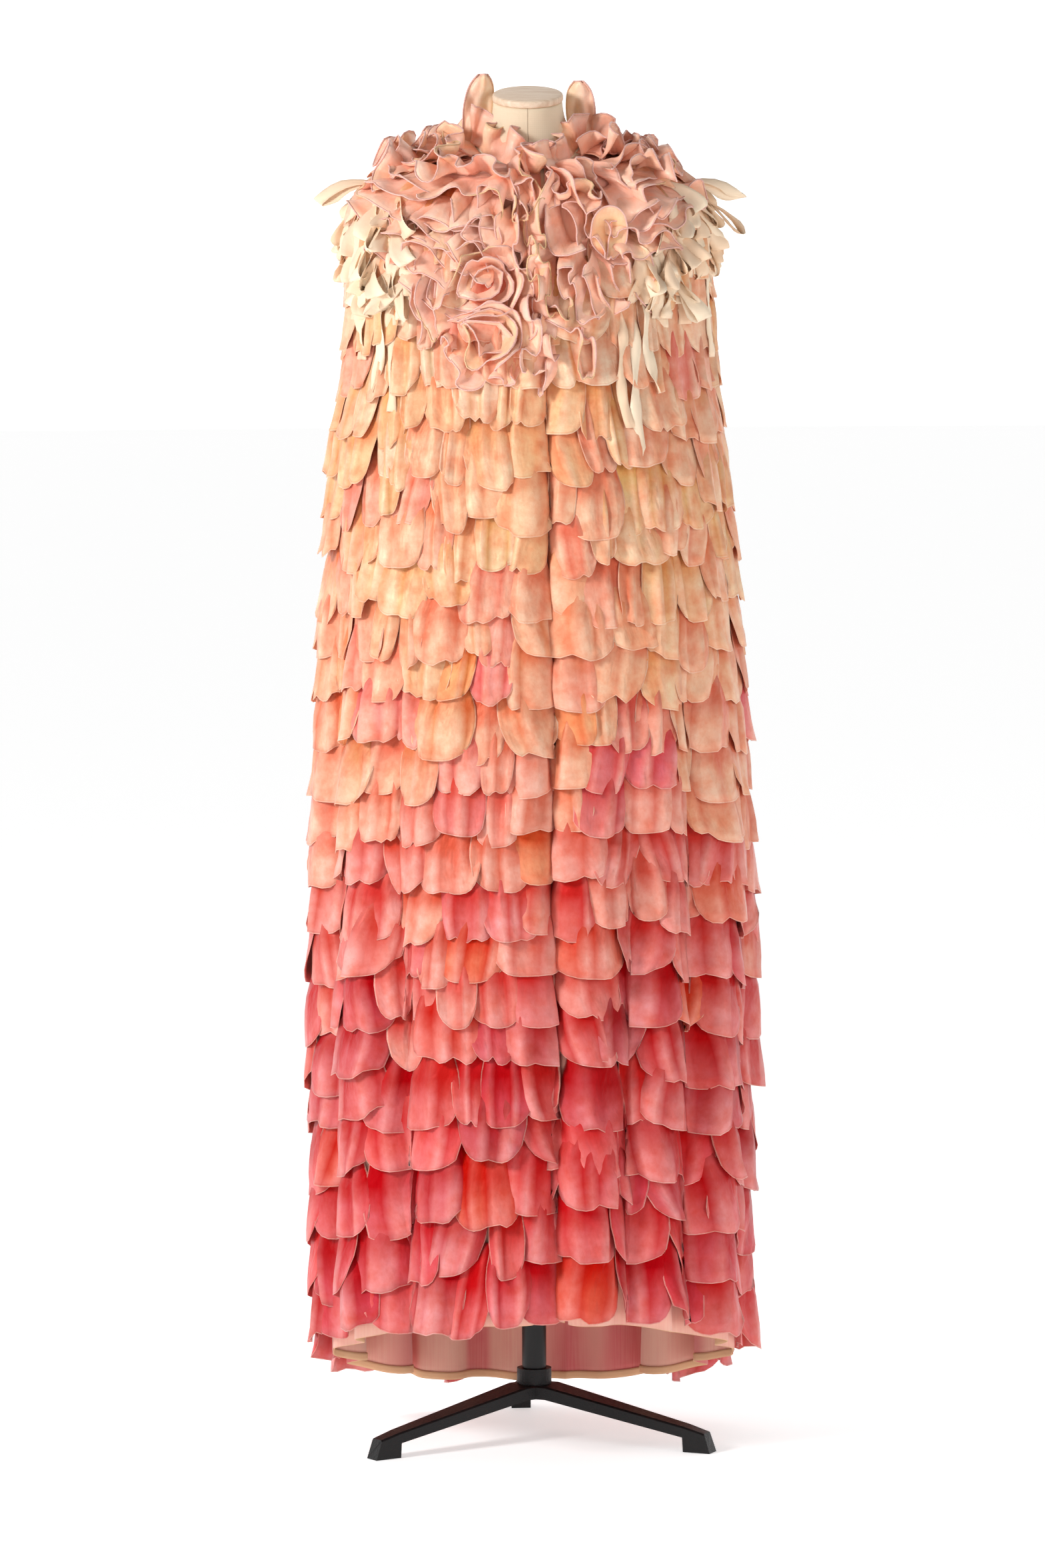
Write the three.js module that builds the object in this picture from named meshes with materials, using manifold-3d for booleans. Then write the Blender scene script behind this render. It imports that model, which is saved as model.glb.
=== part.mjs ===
// A floor-length cape covered in tiers of silk petals, with a ruffled collar and ribbon bunches on the
// shoulders, worn by a limbless dress form on a cast tripod.
// Millimetres, +Z up. The wearer faces -Y, so +X is the wearer's left. The floor is z = 0.
import * as THREE from "three";
import { mergeVertices } from "three/addons/utils/BufferGeometryUtils.js";
import Module from "manifold-3d";

// ---------------------------------------------------------------- driving sizes

const SEAM_GAP = 0.3; // between two pieces that touch
const SEAT = 0.7; // between the cape and what is sewn on it, or the form under it

// The cape's cloth from the neckline down: drop is measured along the cloth at the side, in horizontal
// sections with a height, a half width, and a depth in front of and behind the middle.
const CLOTH = [
  { drop: 0, height: 1592, half: 62, front: 60, back: 58 },
  { drop: 40, height: 1581, half: 101, front: 76, back: 72 },
  { drop: 80, height: 1569, half: 140, front: 90, back: 86 },
  { drop: 120, height: 1550, half: 176, front: 103, back: 100 },
  { drop: 160, height: 1521, half: 202, front: 115, back: 113 },
  { drop: 205, height: 1478, half: 209, front: 127, back: 126 },
  { drop: 260, height: 1423, half: 210, front: 141, back: 139 },
  { drop: 340, height: 1343, half: 213, front: 155, back: 150 },
  { drop: 450, height: 1233, half: 227, front: 167, back: 158 },
  { drop: 600, height: 1084, half: 239, front: 179, back: 170 },
  { drop: 800, height: 885, half: 252, front: 192, back: 186 },
  { drop: 1000, height: 686, half: 262, front: 202, back: 200 },
  { drop: 1200, height: 486, half: 266, front: 208, back: 212 },
  { drop: 1400, height: 286, half: 264, front: 212, back: 222 },
  { drop: 1580, height: 106, half: 264, front: 214, back: 228 },
];
const HEM_DROP = 1580;
const HEM_SHIFT = { middle: 1, swing: 69, from: 600 }; // the hem rises in front and trails behind
const NECK_DIP = { depth: 24, to: 120 }; // the neckline is lower in front
// How far to the wearer's left the fronts meet, on a line that bends at a drop, and the gap there.
const OPENING = { neck: 14, chest: 20, hem: 38, bend: 340, gapTop: 4, gapHem: 8 };

// Long soft troughs: side is 0 at the centre front, 1 at the left side seam, 2 at the centre back,
// and negative on the wearer's right.
const FLUTES = [
  { side: -0.46, width: 0.07, depth: 15, from: 700 },
  { side: -0.8, width: 0.07, depth: 18, from: 360 },
  { side: 0.34, width: 0.06, depth: 14, from: 620 },
  { side: 0.6, width: 0.07, depth: 20, from: 480 },
  { side: 0.88, width: 0.06, depth: 14, from: 640 },
  { side: 1.16, width: 0.08, depth: 18, from: 640 },
  { side: 1.43, width: 0.07, depth: 22, from: 420 },
  { side: 1.72, width: 0.08, depth: 18, from: 560 },
  { side: -1.12, width: 0.07, depth: 15, from: 560 },
  { side: -1.38, width: 0.08, depth: 22, from: 460 },
  { side: -1.66, width: 0.07, depth: 18, from: 620 },
];

// Petals
const COLUMNS = 16; // on each panel
const TIERS = { count: 26, first: 146, last: 1564, evenness: 0.82 };
const YOKE_DROPS = [0, 40, 80, 112]; // plain cloth above the first tier, under the collar
const PETAL = { base: 2.4, lift: 9, liftAtHem: 12.5, notch: 25, ledge: 2, lobe: 7, uneven: 4, clear: 52 };
const WIDE_FROM_TIER = 15; // petals are wider below this tier
// Petal widths in columns, tier after tier. A 2 is half a petal, whose other half is past the seam.
const NARROW_ROWS = [
  [3, 3, 4, 3, 3],
  [2, 3, 3, 3, 3, 2],
  [4, 3, 3, 3, 3],
  [2, 4, 4, 4, 2],
];
const WIDE_ROWS = [
  [4, 4, 4, 4],
  [2, 5, 4, 3, 2],
  [5, 3, 5, 3],
  [2, 4, 4, 4, 2],
  [3, 6, 4, 3],
];

const TAPE = { wide: 13, thick: 0.9 };
// Rows of points inside the cloth. The hem tape lies between the last two.
const INSIDE_DROPS = [
  0, 40, 80, 120, 160, 205, 260, 340, 480, 680, 900, 1120, 1340, HEM_DROP - TAPE.wide, HEM_DROP,
];

// Ruffles: reach is how far down the cloth the outermost row of the collar runs, tall how far it stands
// off the cloth there compared with the front.
const REACH = [
  { side: 0, drop: 312, tall: 1 },
  { side: 0.2, drop: 306, tall: 1 },
  { side: 0.3, drop: 276, tall: 1 },
  { side: 0.42, drop: 222, tall: 0.98 },
  { side: 0.56, drop: 166, tall: 0.92 },
  { side: 0.76, drop: 112, tall: 0.8 },
  { side: 1.0, drop: 90, tall: 0.74 },
  { side: 1.5, drop: 84, tall: 0.7 },
  { side: 2.0, drop: 82, tall: 0.7 },
];
const RUFFLE = { thick: 1.7, perWave: 5, curl: 22, neck: 12, clear: 6, room: 0.17 };
// share is how far out a row stands, from the neckline to its reach, and RUFFLE.room is the share from
// one row to the next. lean is off the cloth's normal and sway how far it swings about that. fromLeft
// and fromRight are where it starts, 0 for the front edge, and to is where it ends, 2 for the centre
// back.
const RUFFLE_ROWS = [
  { share: 0, tall: 55, lean: -13, sway: 11, waves: 3, fromLeft: 0, fromRight: 0, to: 1.08 },
  { share: 0.17, tall: 42, lean: 9, sway: 14, waves: 4, fromLeft: 0, fromRight: 0, to: 0.72 },
  { share: 0.34, tall: 42, lean: 12, sway: 22, waves: 8, fromLeft: 0, fromRight: 0, to: 2 },
  { share: 0.5, tall: 42, lean: 16, sway: 22, waves: 5, fromLeft: 0, fromRight: 0, to: 0.62 },
  { share: 0.67, tall: 42, lean: 20, sway: 22, waves: 10, fromLeft: 0, fromRight: 0.32, to: 2 },
  { share: 0.84, tall: 40, lean: 21, sway: 14, waves: 5, fromLeft: 0, fromRight: 0.33, to: 0.56 },
  { share: 1, tall: 38, lean: 26, sway: 22, waves: 11, fromLeft: 0, fromRight: 0.34, to: 2 },
];
const SHORT_ROWS_TO = 0.72; // past here every other row has ended, so the rest have twice the room
const ROSETTES = [
  { name: "upper", side: -0.17, drop: 240 },
  { name: "lower", side: -0.16, drop: 299 },
];
const ROSETTE = { inner: 5, outer: 24, spread: 1.12, turns: 1.9, tall: 34, steps: 24 };
// Two tall petals stand on the shoulders close behind the neck, leaning towards it.
const LOBES = [
  { name: "left", side: 1.22, drop: 9, tall: 84, wide: 33, inwards: 8 },
  { name: "right", side: -1.26, drop: 9, tall: 96, wide: 29, inwards: 22 },
];
const LOBE = { cup: 6, foot: 0.4 };

// Ribbons: a loop springs from a stitched point and comes back to it, and is fat by the share loop of
// its length. A tail, with no loop, hangs down the cloth. lift is the angle off the cloth and turn the
// angle from straight down, in degrees.
const RIBBON = { thick: 1.2, steps: 7, hang: 17, ends: 0.3 };
const RIBBONS = [
  { name: "right_loop_1", side: -0.9, drop: 126, long: 62, wide: 20, lift: 46, turn: 0, loop: 0.15 },
  { name: "right_loop_2", side: -0.74, drop: 158, long: 64, wide: 21, lift: 36, turn: -6, loop: 0.18 },
  { name: "right_loop_3", side: -0.88, drop: 182, long: 58, wide: 21, lift: 30, turn: 0, loop: 0.18 },
  { name: "right_loop_4", side: -0.66, drop: 206, long: 66, wide: 20, lift: 28, turn: -4, loop: 0.18 },
  { name: "right_loop_5", side: -0.8, drop: 232, long: 58, wide: 20, lift: 24, turn: 0, loop: 0.18 },
  { name: "right_loop_6", side: -0.55, drop: 252, long: 64, wide: 20, lift: 26, turn: -6, loop: 0.18 },
  { name: "right_loop_7", side: -1.1, drop: 130, long: 60, wide: 20, lift: 34, turn: 4, loop: 0.18 },
  { name: "right_loop_8", side: -1.04, drop: 196, long: 58, wide: 20, lift: 26, turn: 4, loop: 0.18 },
  { name: "right_tail", side: -0.66, drop: 300, long: 100, wide: 22, lift: 0, turn: 0, loop: 0 },
  { name: "left_loop_1", side: 0.88, drop: 126, long: 64, wide: 20, lift: 50, turn: 0, loop: 0.15 },
  { name: "left_loop_2", side: 0.73, drop: 160, long: 60, wide: 22, lift: 36, turn: -6, loop: 0.18 },
  { name: "left_loop_3", side: 0.93, drop: 168, long: 70, wide: 20, lift: 44, turn: 0, loop: 0.1 },
  { name: "left_loop_4", side: 0.64, drop: 206, long: 58, wide: 23, lift: 30, turn: -6, loop: 0.2 },
  { name: "left_loop_5", side: 0.8, drop: 222, long: 60, wide: 20, lift: 26, turn: 0, loop: 0.18 },
  { name: "left_loop_6", side: 0.54, drop: 250, long: 58, wide: 22, lift: 26, turn: -4, loop: 0.2 },
  { name: "left_loop_7", side: 1.1, drop: 132, long: 60, wide: 20, lift: 34, turn: 4, loop: 0.18 },
  { name: "left_loop_8", side: 1.04, drop: 204, long: 56, wide: 20, lift: 26, turn: 4, loop: 0.18 },
  { name: "left_tail", side: 0.42, drop: 290, long: 165, wide: 22, lift: 0, turn: 0, loop: 0 },
];

// Dress form: horizontal sections of the body below the shoulders, and the neck above them.
const TORSO = [
  { height: 836, half: 150, front: 104, back: 112 },
  { height: 900, half: 163, front: 112, back: 124 },
  { height: 965, half: 168, front: 116, back: 126 },
  { height: 1040, half: 152, front: 108, back: 108 },
  { height: 1140, half: 117, front: 92, back: 80 },
  { height: 1215, half: 126, front: 100, back: 84 },
  { height: 1310, half: 150, front: 122, back: 98 },
  { height: 1390, half: 168, front: 122, back: 108 },
  { height: 1450, half: 180, front: 112, back: 112 },
];
const SEATED_DROPS = [160, 120, 80, 40, 0]; // the shoulders follow the inside of the cape here
const NECK = [
  { height: 1618, half: 47, front: 48, back: 48, forward: 6 },
  { height: 1645, half: 42, front: 45, back: 45, forward: 11 },
];
const FORM_COLUMNS = 28;
const CAP = { half: 43, deep: 46, thick: 9, round: 3, height: 1654.5, forward: 11.5, tilt: 13.5 };
const NECK_TILT_FROM = 1600; // sections above this height turn towards the cap's tilt

// Stand
const POLE = { radius: 15, bottom: 60 };
const HUB = { radius: 21.3, top: 88.5, boreGap: 0.3 };
const LEG = {
  reach: 241,
  hubWide: 42,
  footWide: 21,
  hubTop: 69,
  hubThick: 16.5,
  footTop: 24,
  footThick: 13,
  flat: 24,
  foot: 36,
  slant: 8,
  bevel: 2,
};
const LEG_ANGLES = [-55.4, 64.6, 184.6]; // from the front, towards +X

const COLOURS = {
  petals: 0xe8957c,
  tape: 0xf0c9a0,
  ruffle: 0xea9f85,
  ribbon: 0xf3dcc0,
  linen: 0xe9d8c0,
  cap: 0xe4c7a8,
  iron: 0x1d1b1b,
};

// ---------------------------------------------------------------- small helpers

const { degToRad, lerp, smoothstep } = THREE.MathUtils;
const vec = (x, y, z) => new THREE.Vector3(x, y, z);
const range = (count) => [...Array(count).keys()];

// An uneven number from -0.5 to 0.5, always the same for the same pair.
function uneven(i, j) {
  const wave = Math.sin(i * 12.9898 + j * 78.233) * 43758.5453;
  return wave - Math.floor(wave) - 0.5;
}

// A table's column read at `at` along its key column, on a smooth curve that never overshoots.
function read(rows, key, column, at) {
  const last = rows.length - 1;
  let i = 0;
  while (i < last - 1 && at > rows[i + 1][key]) i++;
  const slope = (k) =>
    k < 0 || k >= last ? null : (rows[k + 1][column] - rows[k][column]) / (rows[k + 1][key] - rows[k][key]);
  const tangent = (k) => {
    const before = slope(k - 1);
    const after = slope(k);
    if (before === null) return after;
    if (after === null) return before;
    return before * after <= 0 ? 0 : (2 * before * after) / (before + after);
  };
  const span = rows[i + 1][key] - rows[i][key];
  const t = THREE.MathUtils.clamp((at - rows[i][key]) / span, 0, 1);
  const t2 = t * t;
  const t3 = t2 * t;
  return (
    (2 * t3 - 3 * t2 + 1) * rows[i][column] +
    (t3 - 2 * t2 + t) * span * tangent(i) +
    (3 * t2 - 2 * t3) * rows[i + 1][column] +
    (t3 - t2) * span * tangent(i + 1)
  );
}

// Triangles under construction, with the ways of filling them that the pieces share.
class Skin {
  positions = [];
  triangles = [];

  point(p) {
    this.positions.push(p.x, p.y, p.z);
    return this.positions.length / 3 - 1;
  }

  line(points) {
    return points.map((p) => this.point(p));
  }

  fill(grid, flip) {
    for (let r = 0; r + 1 < grid.length; r++)
      for (let c = 0; c + 1 < grid[r].length; c++) {
        const [a, b, e, f] = [grid[r][c], grid[r + 1][c], grid[r + 1][c + 1], grid[r][c + 1]];
        if (flip) this.triangles.push(a, f, e, a, e, b);
        else this.triangles.push(a, b, e, a, e, f);
      }
  }

  distance(i, j) {
    const at = (k) => new THREE.Vector3().fromArray(this.positions, 3 * k);
    return at(i).distanceTo(at(j));
  }

  // Joins two lines of points with a strip, always across the shorter diagonal.
  zip(a, b, flip) {
    let i = 0;
    let j = 0;
    while (i + 1 < a.length || j + 1 < b.length) {
      const stepA =
        j + 1 === b.length ||
        (i + 1 < a.length && this.distance(a[i + 1], b[j]) <= this.distance(a[i], b[j + 1]));
      if (stepA) {
        if (flip) this.triangles.push(a[i], a[i + 1], b[j]);
        else this.triangles.push(a[i + 1], a[i], b[j]);
        i++;
      } else {
        if (flip) this.triangles.push(a[i], b[j + 1], b[j]);
        else this.triangles.push(a[i], b[j], b[j + 1]);
        j++;
      }
    }
  }

  geometry() {
    const made = new THREE.BufferGeometry();
    made.setAttribute("position", new THREE.Float32BufferAttribute(this.positions, 3));
    made.setIndex(facingOut(this.positions, this.triangles));
    made.computeVertexNormals();
    return made;
  }
}

// The triangles turned round if together they enclose a negative volume.
function facingOut(positions, triangles) {
  const corner = (k) => new THREE.Vector3().fromArray(positions, 3 * k);
  let volume = 0;
  for (let i = 0; i < triangles.length; i += 3)
    volume += corner(triangles[i]).dot(corner(triangles[i + 1]).cross(corner(triangles[i + 2])));
  return volume < 0 ? triangles.slice().reverse() : triangles;
}

// A wall of cloth between a grid of outer points and a grid of inner points. Their counts may differ.
function wall(outer, inner) {
  const skin = new Skin();
  const out = outer.map((row) => skin.line(row));
  const back = inner.map((row) => skin.line(row));
  const column = (grid, end) => grid.map((row) => row.at(end));
  skin.fill(out, false);
  skin.fill(back, true);
  skin.zip(out[0], back[0], true);
  skin.zip(out.at(-1), back.at(-1), false);
  skin.zip(column(out, 0), column(back, 0), false);
  skin.zip(column(out, -1), column(back, -1), true);
  return skin.geometry();
}

// A thin strip of cloth round a grid of middle points.
function strip(middle, thick) {
  const normalAt = (r, c) => {
    const row = middle[r];
    const along = row[Math.min(c + 1, row.length - 1)].clone().sub(row[Math.max(c - 1, 0)]);
    const across = middle[Math.min(r + 1, middle.length - 1)][c]
      .clone()
      .sub(middle[Math.max(r - 1, 0)][c]);
    return along.cross(across).normalize();
  };
  const moved = (side) =>
    middle.map((row, r) => row.map((p, c) => p.clone().addScaledVector(normalAt(r, c), (side * thick) / 2)));
  return wall(moved(1), moved(-1));
}

// A closed body through rings with the same number of points, flat at both ends.
function loft(rings) {
  const skin = new Skin();
  const lines = rings.map((ring) => skin.line(ring));
  skin.fill(
    lines.map((line) => [...line, line[0]]),
    false,
  );
  const first = lines[0];
  const last = lines.at(-1);
  for (let i = 1; i + 1 < first.length; i++) {
    skin.triangles.push(first[0], first[i], first[i + 1]);
    skin.triangles.push(last[0], last[i + 1], last[i]);
  }
  return skin.geometry();
}

const finish = (colour, roughness, metalness = 0) =>
  new THREE.MeshStandardMaterial({ color: colour, roughness, metalness, side: THREE.DoubleSide });

const garment = new THREE.Group();
function add(name, geometry, material) {
  const mesh = new THREE.Mesh(geometry, material);
  mesh.name = name;
  garment.add(mesh);
  return mesh;
}

// ---------------------------------------------------------------- the cloth's surface

// The angle from the front at a share of a quarter's length round an oval as deep as the cape's.
const OVAL_DEPTH = 0.76;
const OVAL_STEPS = 90;
const ovalLengths = [0];
for (const i of range(OVAL_STEPS)) {
  const angle = ((i + 0.5) / OVAL_STEPS) * (Math.PI / 2);
  const step = Math.hypot(Math.cos(angle), OVAL_DEPTH * Math.sin(angle));
  ovalLengths.push(ovalLengths[i] + step);
}
function quarterAngle(share) {
  const target = share * ovalLengths[OVAL_STEPS];
  let i = 0;
  while (i < OVAL_STEPS - 1 && ovalLengths[i + 1] < target) i++;
  const part = (target - ovalLengths[i]) / (ovalLengths[i + 1] - ovalLengths[i]);
  return ((i + part) / OVAL_STEPS) * (Math.PI / 2);
}
function angleAt(side) {
  const size = Math.abs(side);
  const angle = size <= 1 ? quarterAngle(size) : Math.PI - quarterAngle(2 - size);
  return Math.sign(side) * angle;
}

// A point of an oval section with its own depth in front and behind.
function ovalPoint(angle, half, front, back) {
  const facing = Math.cos(angle);
  return vec(half * Math.sin(angle), -facing * (facing > 0 ? front : back), 0);
}

function fluteDepth(side, drop) {
  let depth = 0;
  for (const f of FLUTES) {
    const away = (side - f.side) / f.width;
    depth += f.depth * Math.exp(-away * away) * smoothstep(drop, f.from, f.from + 750);
  }
  return depth;
}

// The inside of the cape's cloth.
function clothPoint(side, drop) {
  const angle = angleAt(side);
  const size = (column) => read(CLOTH, "drop", column, drop);
  const facing = Math.cos(angle);
  const point = ovalPoint(angle, size("half"), size("front"), size("back"));
  const middle = Math.hypot(point.x, point.y);
  const inwards = 1 - fluteDepth(side, drop) / middle;
  point.x *= inwards;
  point.y *= inwards;
  const hem = (HEM_SHIFT.middle + HEM_SHIFT.swing * facing) * smoothstep(drop, HEM_SHIFT.from, HEM_DROP);
  const dip = NECK_DIP.depth * Math.max(0, facing) * (1 - smoothstep(drop, 0, NECK_DIP.to));
  point.z = size("height") + hem - dip;
  return point;
}

function clothNormal(side, drop) {
  const ds = 0.004;
  const dd = 3;
  const high = Math.max(drop - dd, 0);
  const low = Math.min(drop + dd, HEM_DROP);
  const along = clothPoint(side + ds, drop).sub(clothPoint(side - ds, drop));
  const down = clothPoint(side, low).sub(clothPoint(side, high));
  return down.cross(along).normalize();
}

// How long a quarter of the section is, for turning millimetres into shares.
function quarterLength(drop) {
  const half = read(CLOTH, "drop", "half", drop);
  const front = read(CLOTH, "drop", "front", drop);
  return (Math.PI / 2) * Math.sqrt((half * half + front * front) / 2);
}

// Where the fronts meet: a slanting line, a little to the wearer's left of the middle.
function openingSide(drop) {
  const below = drop - OPENING.bend;
  const x =
    below < 0
      ? lerp(OPENING.neck, OPENING.chest, drop / OPENING.bend)
      : lerp(OPENING.chest, OPENING.hem, below / (HEM_DROP - OPENING.bend));
  return x / quarterLength(drop);
}

// ---------------------------------------------------------------- petals

const reachAt = (side) => read(REACH, "side", "drop", Math.abs(side));

const tierDrops = range(TIERS.count).map((i) => {
  const t = i / (TIERS.count - 1);
  return lerp(TIERS.first, TIERS.last, t * (TIERS.evenness + (1 - TIERS.evenness) * t));
});

// Where a column lies in its petal: place is -1 and 1 at the notches, 0 in the middle.
function petalAt(tier, column) {
  const rows = tier < WIDE_FROM_TIER ? NARROW_ROWS : WIDE_ROWS;
  const widths = rows[tier % rows.length];
  let start = 0;
  let index = 0;
  while (column > start + widths[index]) start += widths[index++];
  const wide = widths[index];
  const half = wide === 2; // half a petal, whose other half is past the seam
  let place = (2 * (column - start)) / wide - 1;
  if (half && index === 0) place = (place + 1) / 2;
  if (half && index > 0) place = (place - 1) / 2;
  return { index, wide, place };
}

// The drop and the height off the cloth of a tier's edge at a column.
function petalEdge(panel, tier, column) {
  const { index, wide, place } = petalAt(tier, column);
  const seed = panel * 31 + index;
  const atNotch = Math.abs(place) > 0.99;
  const notch = PETAL.notch * Math.pow(Math.abs(place), 3.2);
  const lobe = wide === 6 ? PETAL.lobe * Math.max(0, 1 - Math.abs(place) / 0.3) : 0;
  const longer = atNotch ? 0 : PETAL.uneven * 2 * uneven(tier, seed);
  const drop = tierDrops[tier] - notch - lobe + longer;
  const grown = lerp(PETAL.lift, PETAL.liftAtHem, tier / (TIERS.count - 1));
  const lift = grown * (1 - 0.42 * place * place) + (atNotch ? 0 : 3.2 * uneven(tier + 7, seed));
  return { drop: Math.min(drop, HEM_DROP - 8), lift };
}

// ---------------------------------------------------------------- the four panels

const PANELS = [
  { name: "cape_left_front", from: (drop) => openingSide(drop) + gapShare(drop), to: () => 1 },
  { name: "cape_left_back", from: () => 1, to: () => 2 },
  { name: "cape_right_front", from: (drop) => openingSide(drop) - gapShare(drop), to: () => -1 },
  { name: "cape_right_back", from: () => -1, to: () => -2 },
];
function gapShare(drop) {
  const gap = lerp(OPENING.gapTop, OPENING.gapHem, drop / HEM_DROP);
  return gap / 2 / quarterLength(drop);
}

// The side of a column, kept off the seams by half a seam gap.
function columnSide(panel, column, drop) {
  const from = panel.from(drop);
  const to = panel.to(drop);
  const seam = (Math.sign(to - from) * SEAM_GAP) / 2 / quarterLength(drop);
  return lerp(from + seam, to - seam, column / COLUMNS);
}

// The panel's outer points: the yoke's rows, two at each tier's edge and one at the hem.
function outerRows(panel, number) {
  const at = (column, drop, lift) => {
    const side = columnSide(panel, column, drop);
    const plain = drop < reachAt(side) + PETAL.clear; // nothing but cloth under the collar
    const height = plain ? PETAL.base : lift;
    const point = clothPoint(side, drop).addScaledVector(clothNormal(side, drop), height);
    return Object.assign(point, { drop, side });
  };
  const columns = range(COLUMNS + 1);
  const rows = YOKE_DROPS.map((drop) => columns.map((c) => at(c, drop, PETAL.base)));
  for (const tier of range(TIERS.count)) {
    const edges = columns.map((c) => petalEdge(number, tier, c));
    rows.push(edges.map((edge, c) => at(c, edge.drop, edge.lift)));
    rows.push(edges.map((edge, c) => at(c, edge.drop + PETAL.ledge, PETAL.base)));
  }
  rows.push(columns.map((c) => at(c, HEM_DROP, PETAL.base)));
  return rows;
}

function innerRows(panel) {
  return INSIDE_DROPS.map((drop) =>
    range(COLUMNS + 1).map((c) => clothPoint(columnSide(panel, c, drop), drop)),
  );
}

const silk = finish(COLOURS.petals, 0.45);
const outers = PANELS.map((panel, number) => outerRows(panel, number));
const inners = PANELS.map((panel) => innerRows(panel));
PANELS.forEach((panel, number) => add(panel.name, wall(outers[number], inners[number]), silk));

// A point on the panels' faceted outside, for what is sewn on it.
function skinPoint(side, drop) {
  const back = Math.abs(side) > 1;
  const left = side > (back ? 0 : openingSide(drop));
  const number = (left ? 0 : 2) + (back ? 1 : 0);
  const rows = outers[number];
  const first = columnSide(PANELS[number], 0, drop);
  const last = columnSide(PANELS[number], COLUMNS, drop);
  const place = THREE.MathUtils.clamp((side - first) / (last - first), 0, 1) * COLUMNS;
  const c = Math.min(Math.floor(place), COLUMNS - 1);
  const across = place - c;
  const dropOf = (r) => lerp(rows[r][c].drop, rows[r][c + 1].drop, across);
  let r = 0;
  while (r < rows.length - 2 && dropOf(r + 1) < drop) r++;
  const down = THREE.MathUtils.clamp((drop - dropOf(r)) / (dropOf(r + 1) - dropOf(r)), 0, 1);
  // Each four points are two facets, joined along the line from the first to the last.
  const high = rows[r][c];
  const low = rows[r + 1][c + 1];
  const bend = down > across ? rows[r + 1][c] : rows[r][c + 1];
  const near = Math.max(down, across);
  const far = Math.min(down, across);
  return high
    .clone()
    .addScaledVector(bend.clone().sub(high), near)
    .addScaledVector(low.clone().sub(bend), far);
}

// ---------------------------------------------------------------- hem tape

const cream = finish(COLOURS.tape, 0.7);
PANELS.forEach((panel, number) => {
  const hem = inners[number].at(-1);
  const above = inners[number].at(-2);
  const inset = (p, by) => {
    const inwards = vec(-p.x, -p.y, 0).normalize();
    return p.clone().addScaledVector(inwards, by);
  };
  const rows = (by) => [above.map((p) => inset(p, by)), hem.map((p) => inset(p, by))];
  const name = panel.name.replace("cape", "hem_tape");
  add(name, wall(rows(SEAM_GAP), rows(SEAM_GAP + TAPE.thick)), cream);
});

// ---------------------------------------------------------------- collar ruffles

const ruffleCloth = finish(COLOURS.ruffle, 0.5);

// A line of points just off the panels, lifted so that the straight steps between them, and the lower
// edge of a cloth that leans there, clear the panels too.
function footLine(route, seat) {
  const foot = route.map((p) => skinPoint(p.side, p.drop));
  const lifts = route.map(() => 0);
  for (let i = 0; i + 1 < route.length; i++)
    for (const share of [0.25, 0.5, 0.75]) {
      const side = lerp(route[i].side, route[i + 1].side, share);
      const drop = lerp(route[i].drop, route[i + 1].drop, share);
      const chord = foot[i].clone().lerp(foot[i + 1], share);
      const sunk = skinPoint(side, drop).sub(chord).dot(clothNormal(side, drop));
      lifts[i] = Math.max(lifts[i], sunk);
      lifts[i + 1] = Math.max(lifts[i + 1], sunk);
    }
  return foot.map((p, i) => {
    const normal = clothNormal(route[i].side, route[i].drop);
    return p.addScaledVector(normal, lifts[i] + seat);
  });
}

// A flounce that stands on the cape along a line of { side, drop }, swaying from side to side as far as
// the next row leaves room.
function flounce(route, row) {
  const foot = footLine(route, RUFFLE.thick / 2 + SEAM_GAP);
  const top = foot.map((p, i) => {
    const { side, drop } = route[i];
    const normal = clothNormal(side, drop);
    const along = foot[Math.min(i + 1, foot.length - 1)].clone().sub(foot[Math.max(i - 1, 0)]);
    const away = along.cross(normal).normalize();
    const downhill = clothPoint(side, drop + 5).sub(clothPoint(side, drop));
    if (away.dot(downhill) < 0) away.negate();
    const tall = row.tall * read(REACH, "side", "tall", Math.abs(side));
    const room = Math.abs(side) > SHORT_ROWS_TO ? 2 * RUFFLE.room : RUFFLE.room;
    const swing = Math.max((room * reachAt(side)) / 2 - RUFFLE.clear, 2) / tall;
    const sway = Math.min(degToRad(row.sway), Math.asin(Math.min(swing, 1)));
    const wave = Math.sin((2 * Math.PI * row.waves * i) / (foot.length - 1));
    const lean = degToRad(row.lean + RUFFLE.curl) + sway * wave;
    return p
      .clone()
      .addScaledVector(normal, tall * Math.cos(lean))
      .addScaledVector(away, tall * Math.sin(lean));
  });
  return strip([foot, top], RUFFLE.thick);
}

for (const hand of [1, -1])
  RUFFLE_ROWS.forEach((row, number) => {
    const steps = row.waves * RUFFLE.perWave;
    const dropAt = (side) => lerp(RUFFLE.neck, reachAt(side), row.share);
    const edge = hand * openingSide(dropAt(0)) + 7 / quarterLength(dropAt(0));
    const start = (hand > 0 ? row.fromLeft : row.fromRight) || edge;
    const end = Math.min(row.to, 2 - 4 / quarterLength(dropAt(2)));
    const route = range(steps + 1).map((i) => {
      const side = lerp(start, end, Math.pow(i / steps, 1.15));
      return { side: hand * side, drop: dropAt(side) };
    });
    const name = `ruffle_${hand > 0 ? "left" : "right"}_${number + 1}`;
    add(name, flounce(route, row), ruffleCloth);
  });

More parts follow.
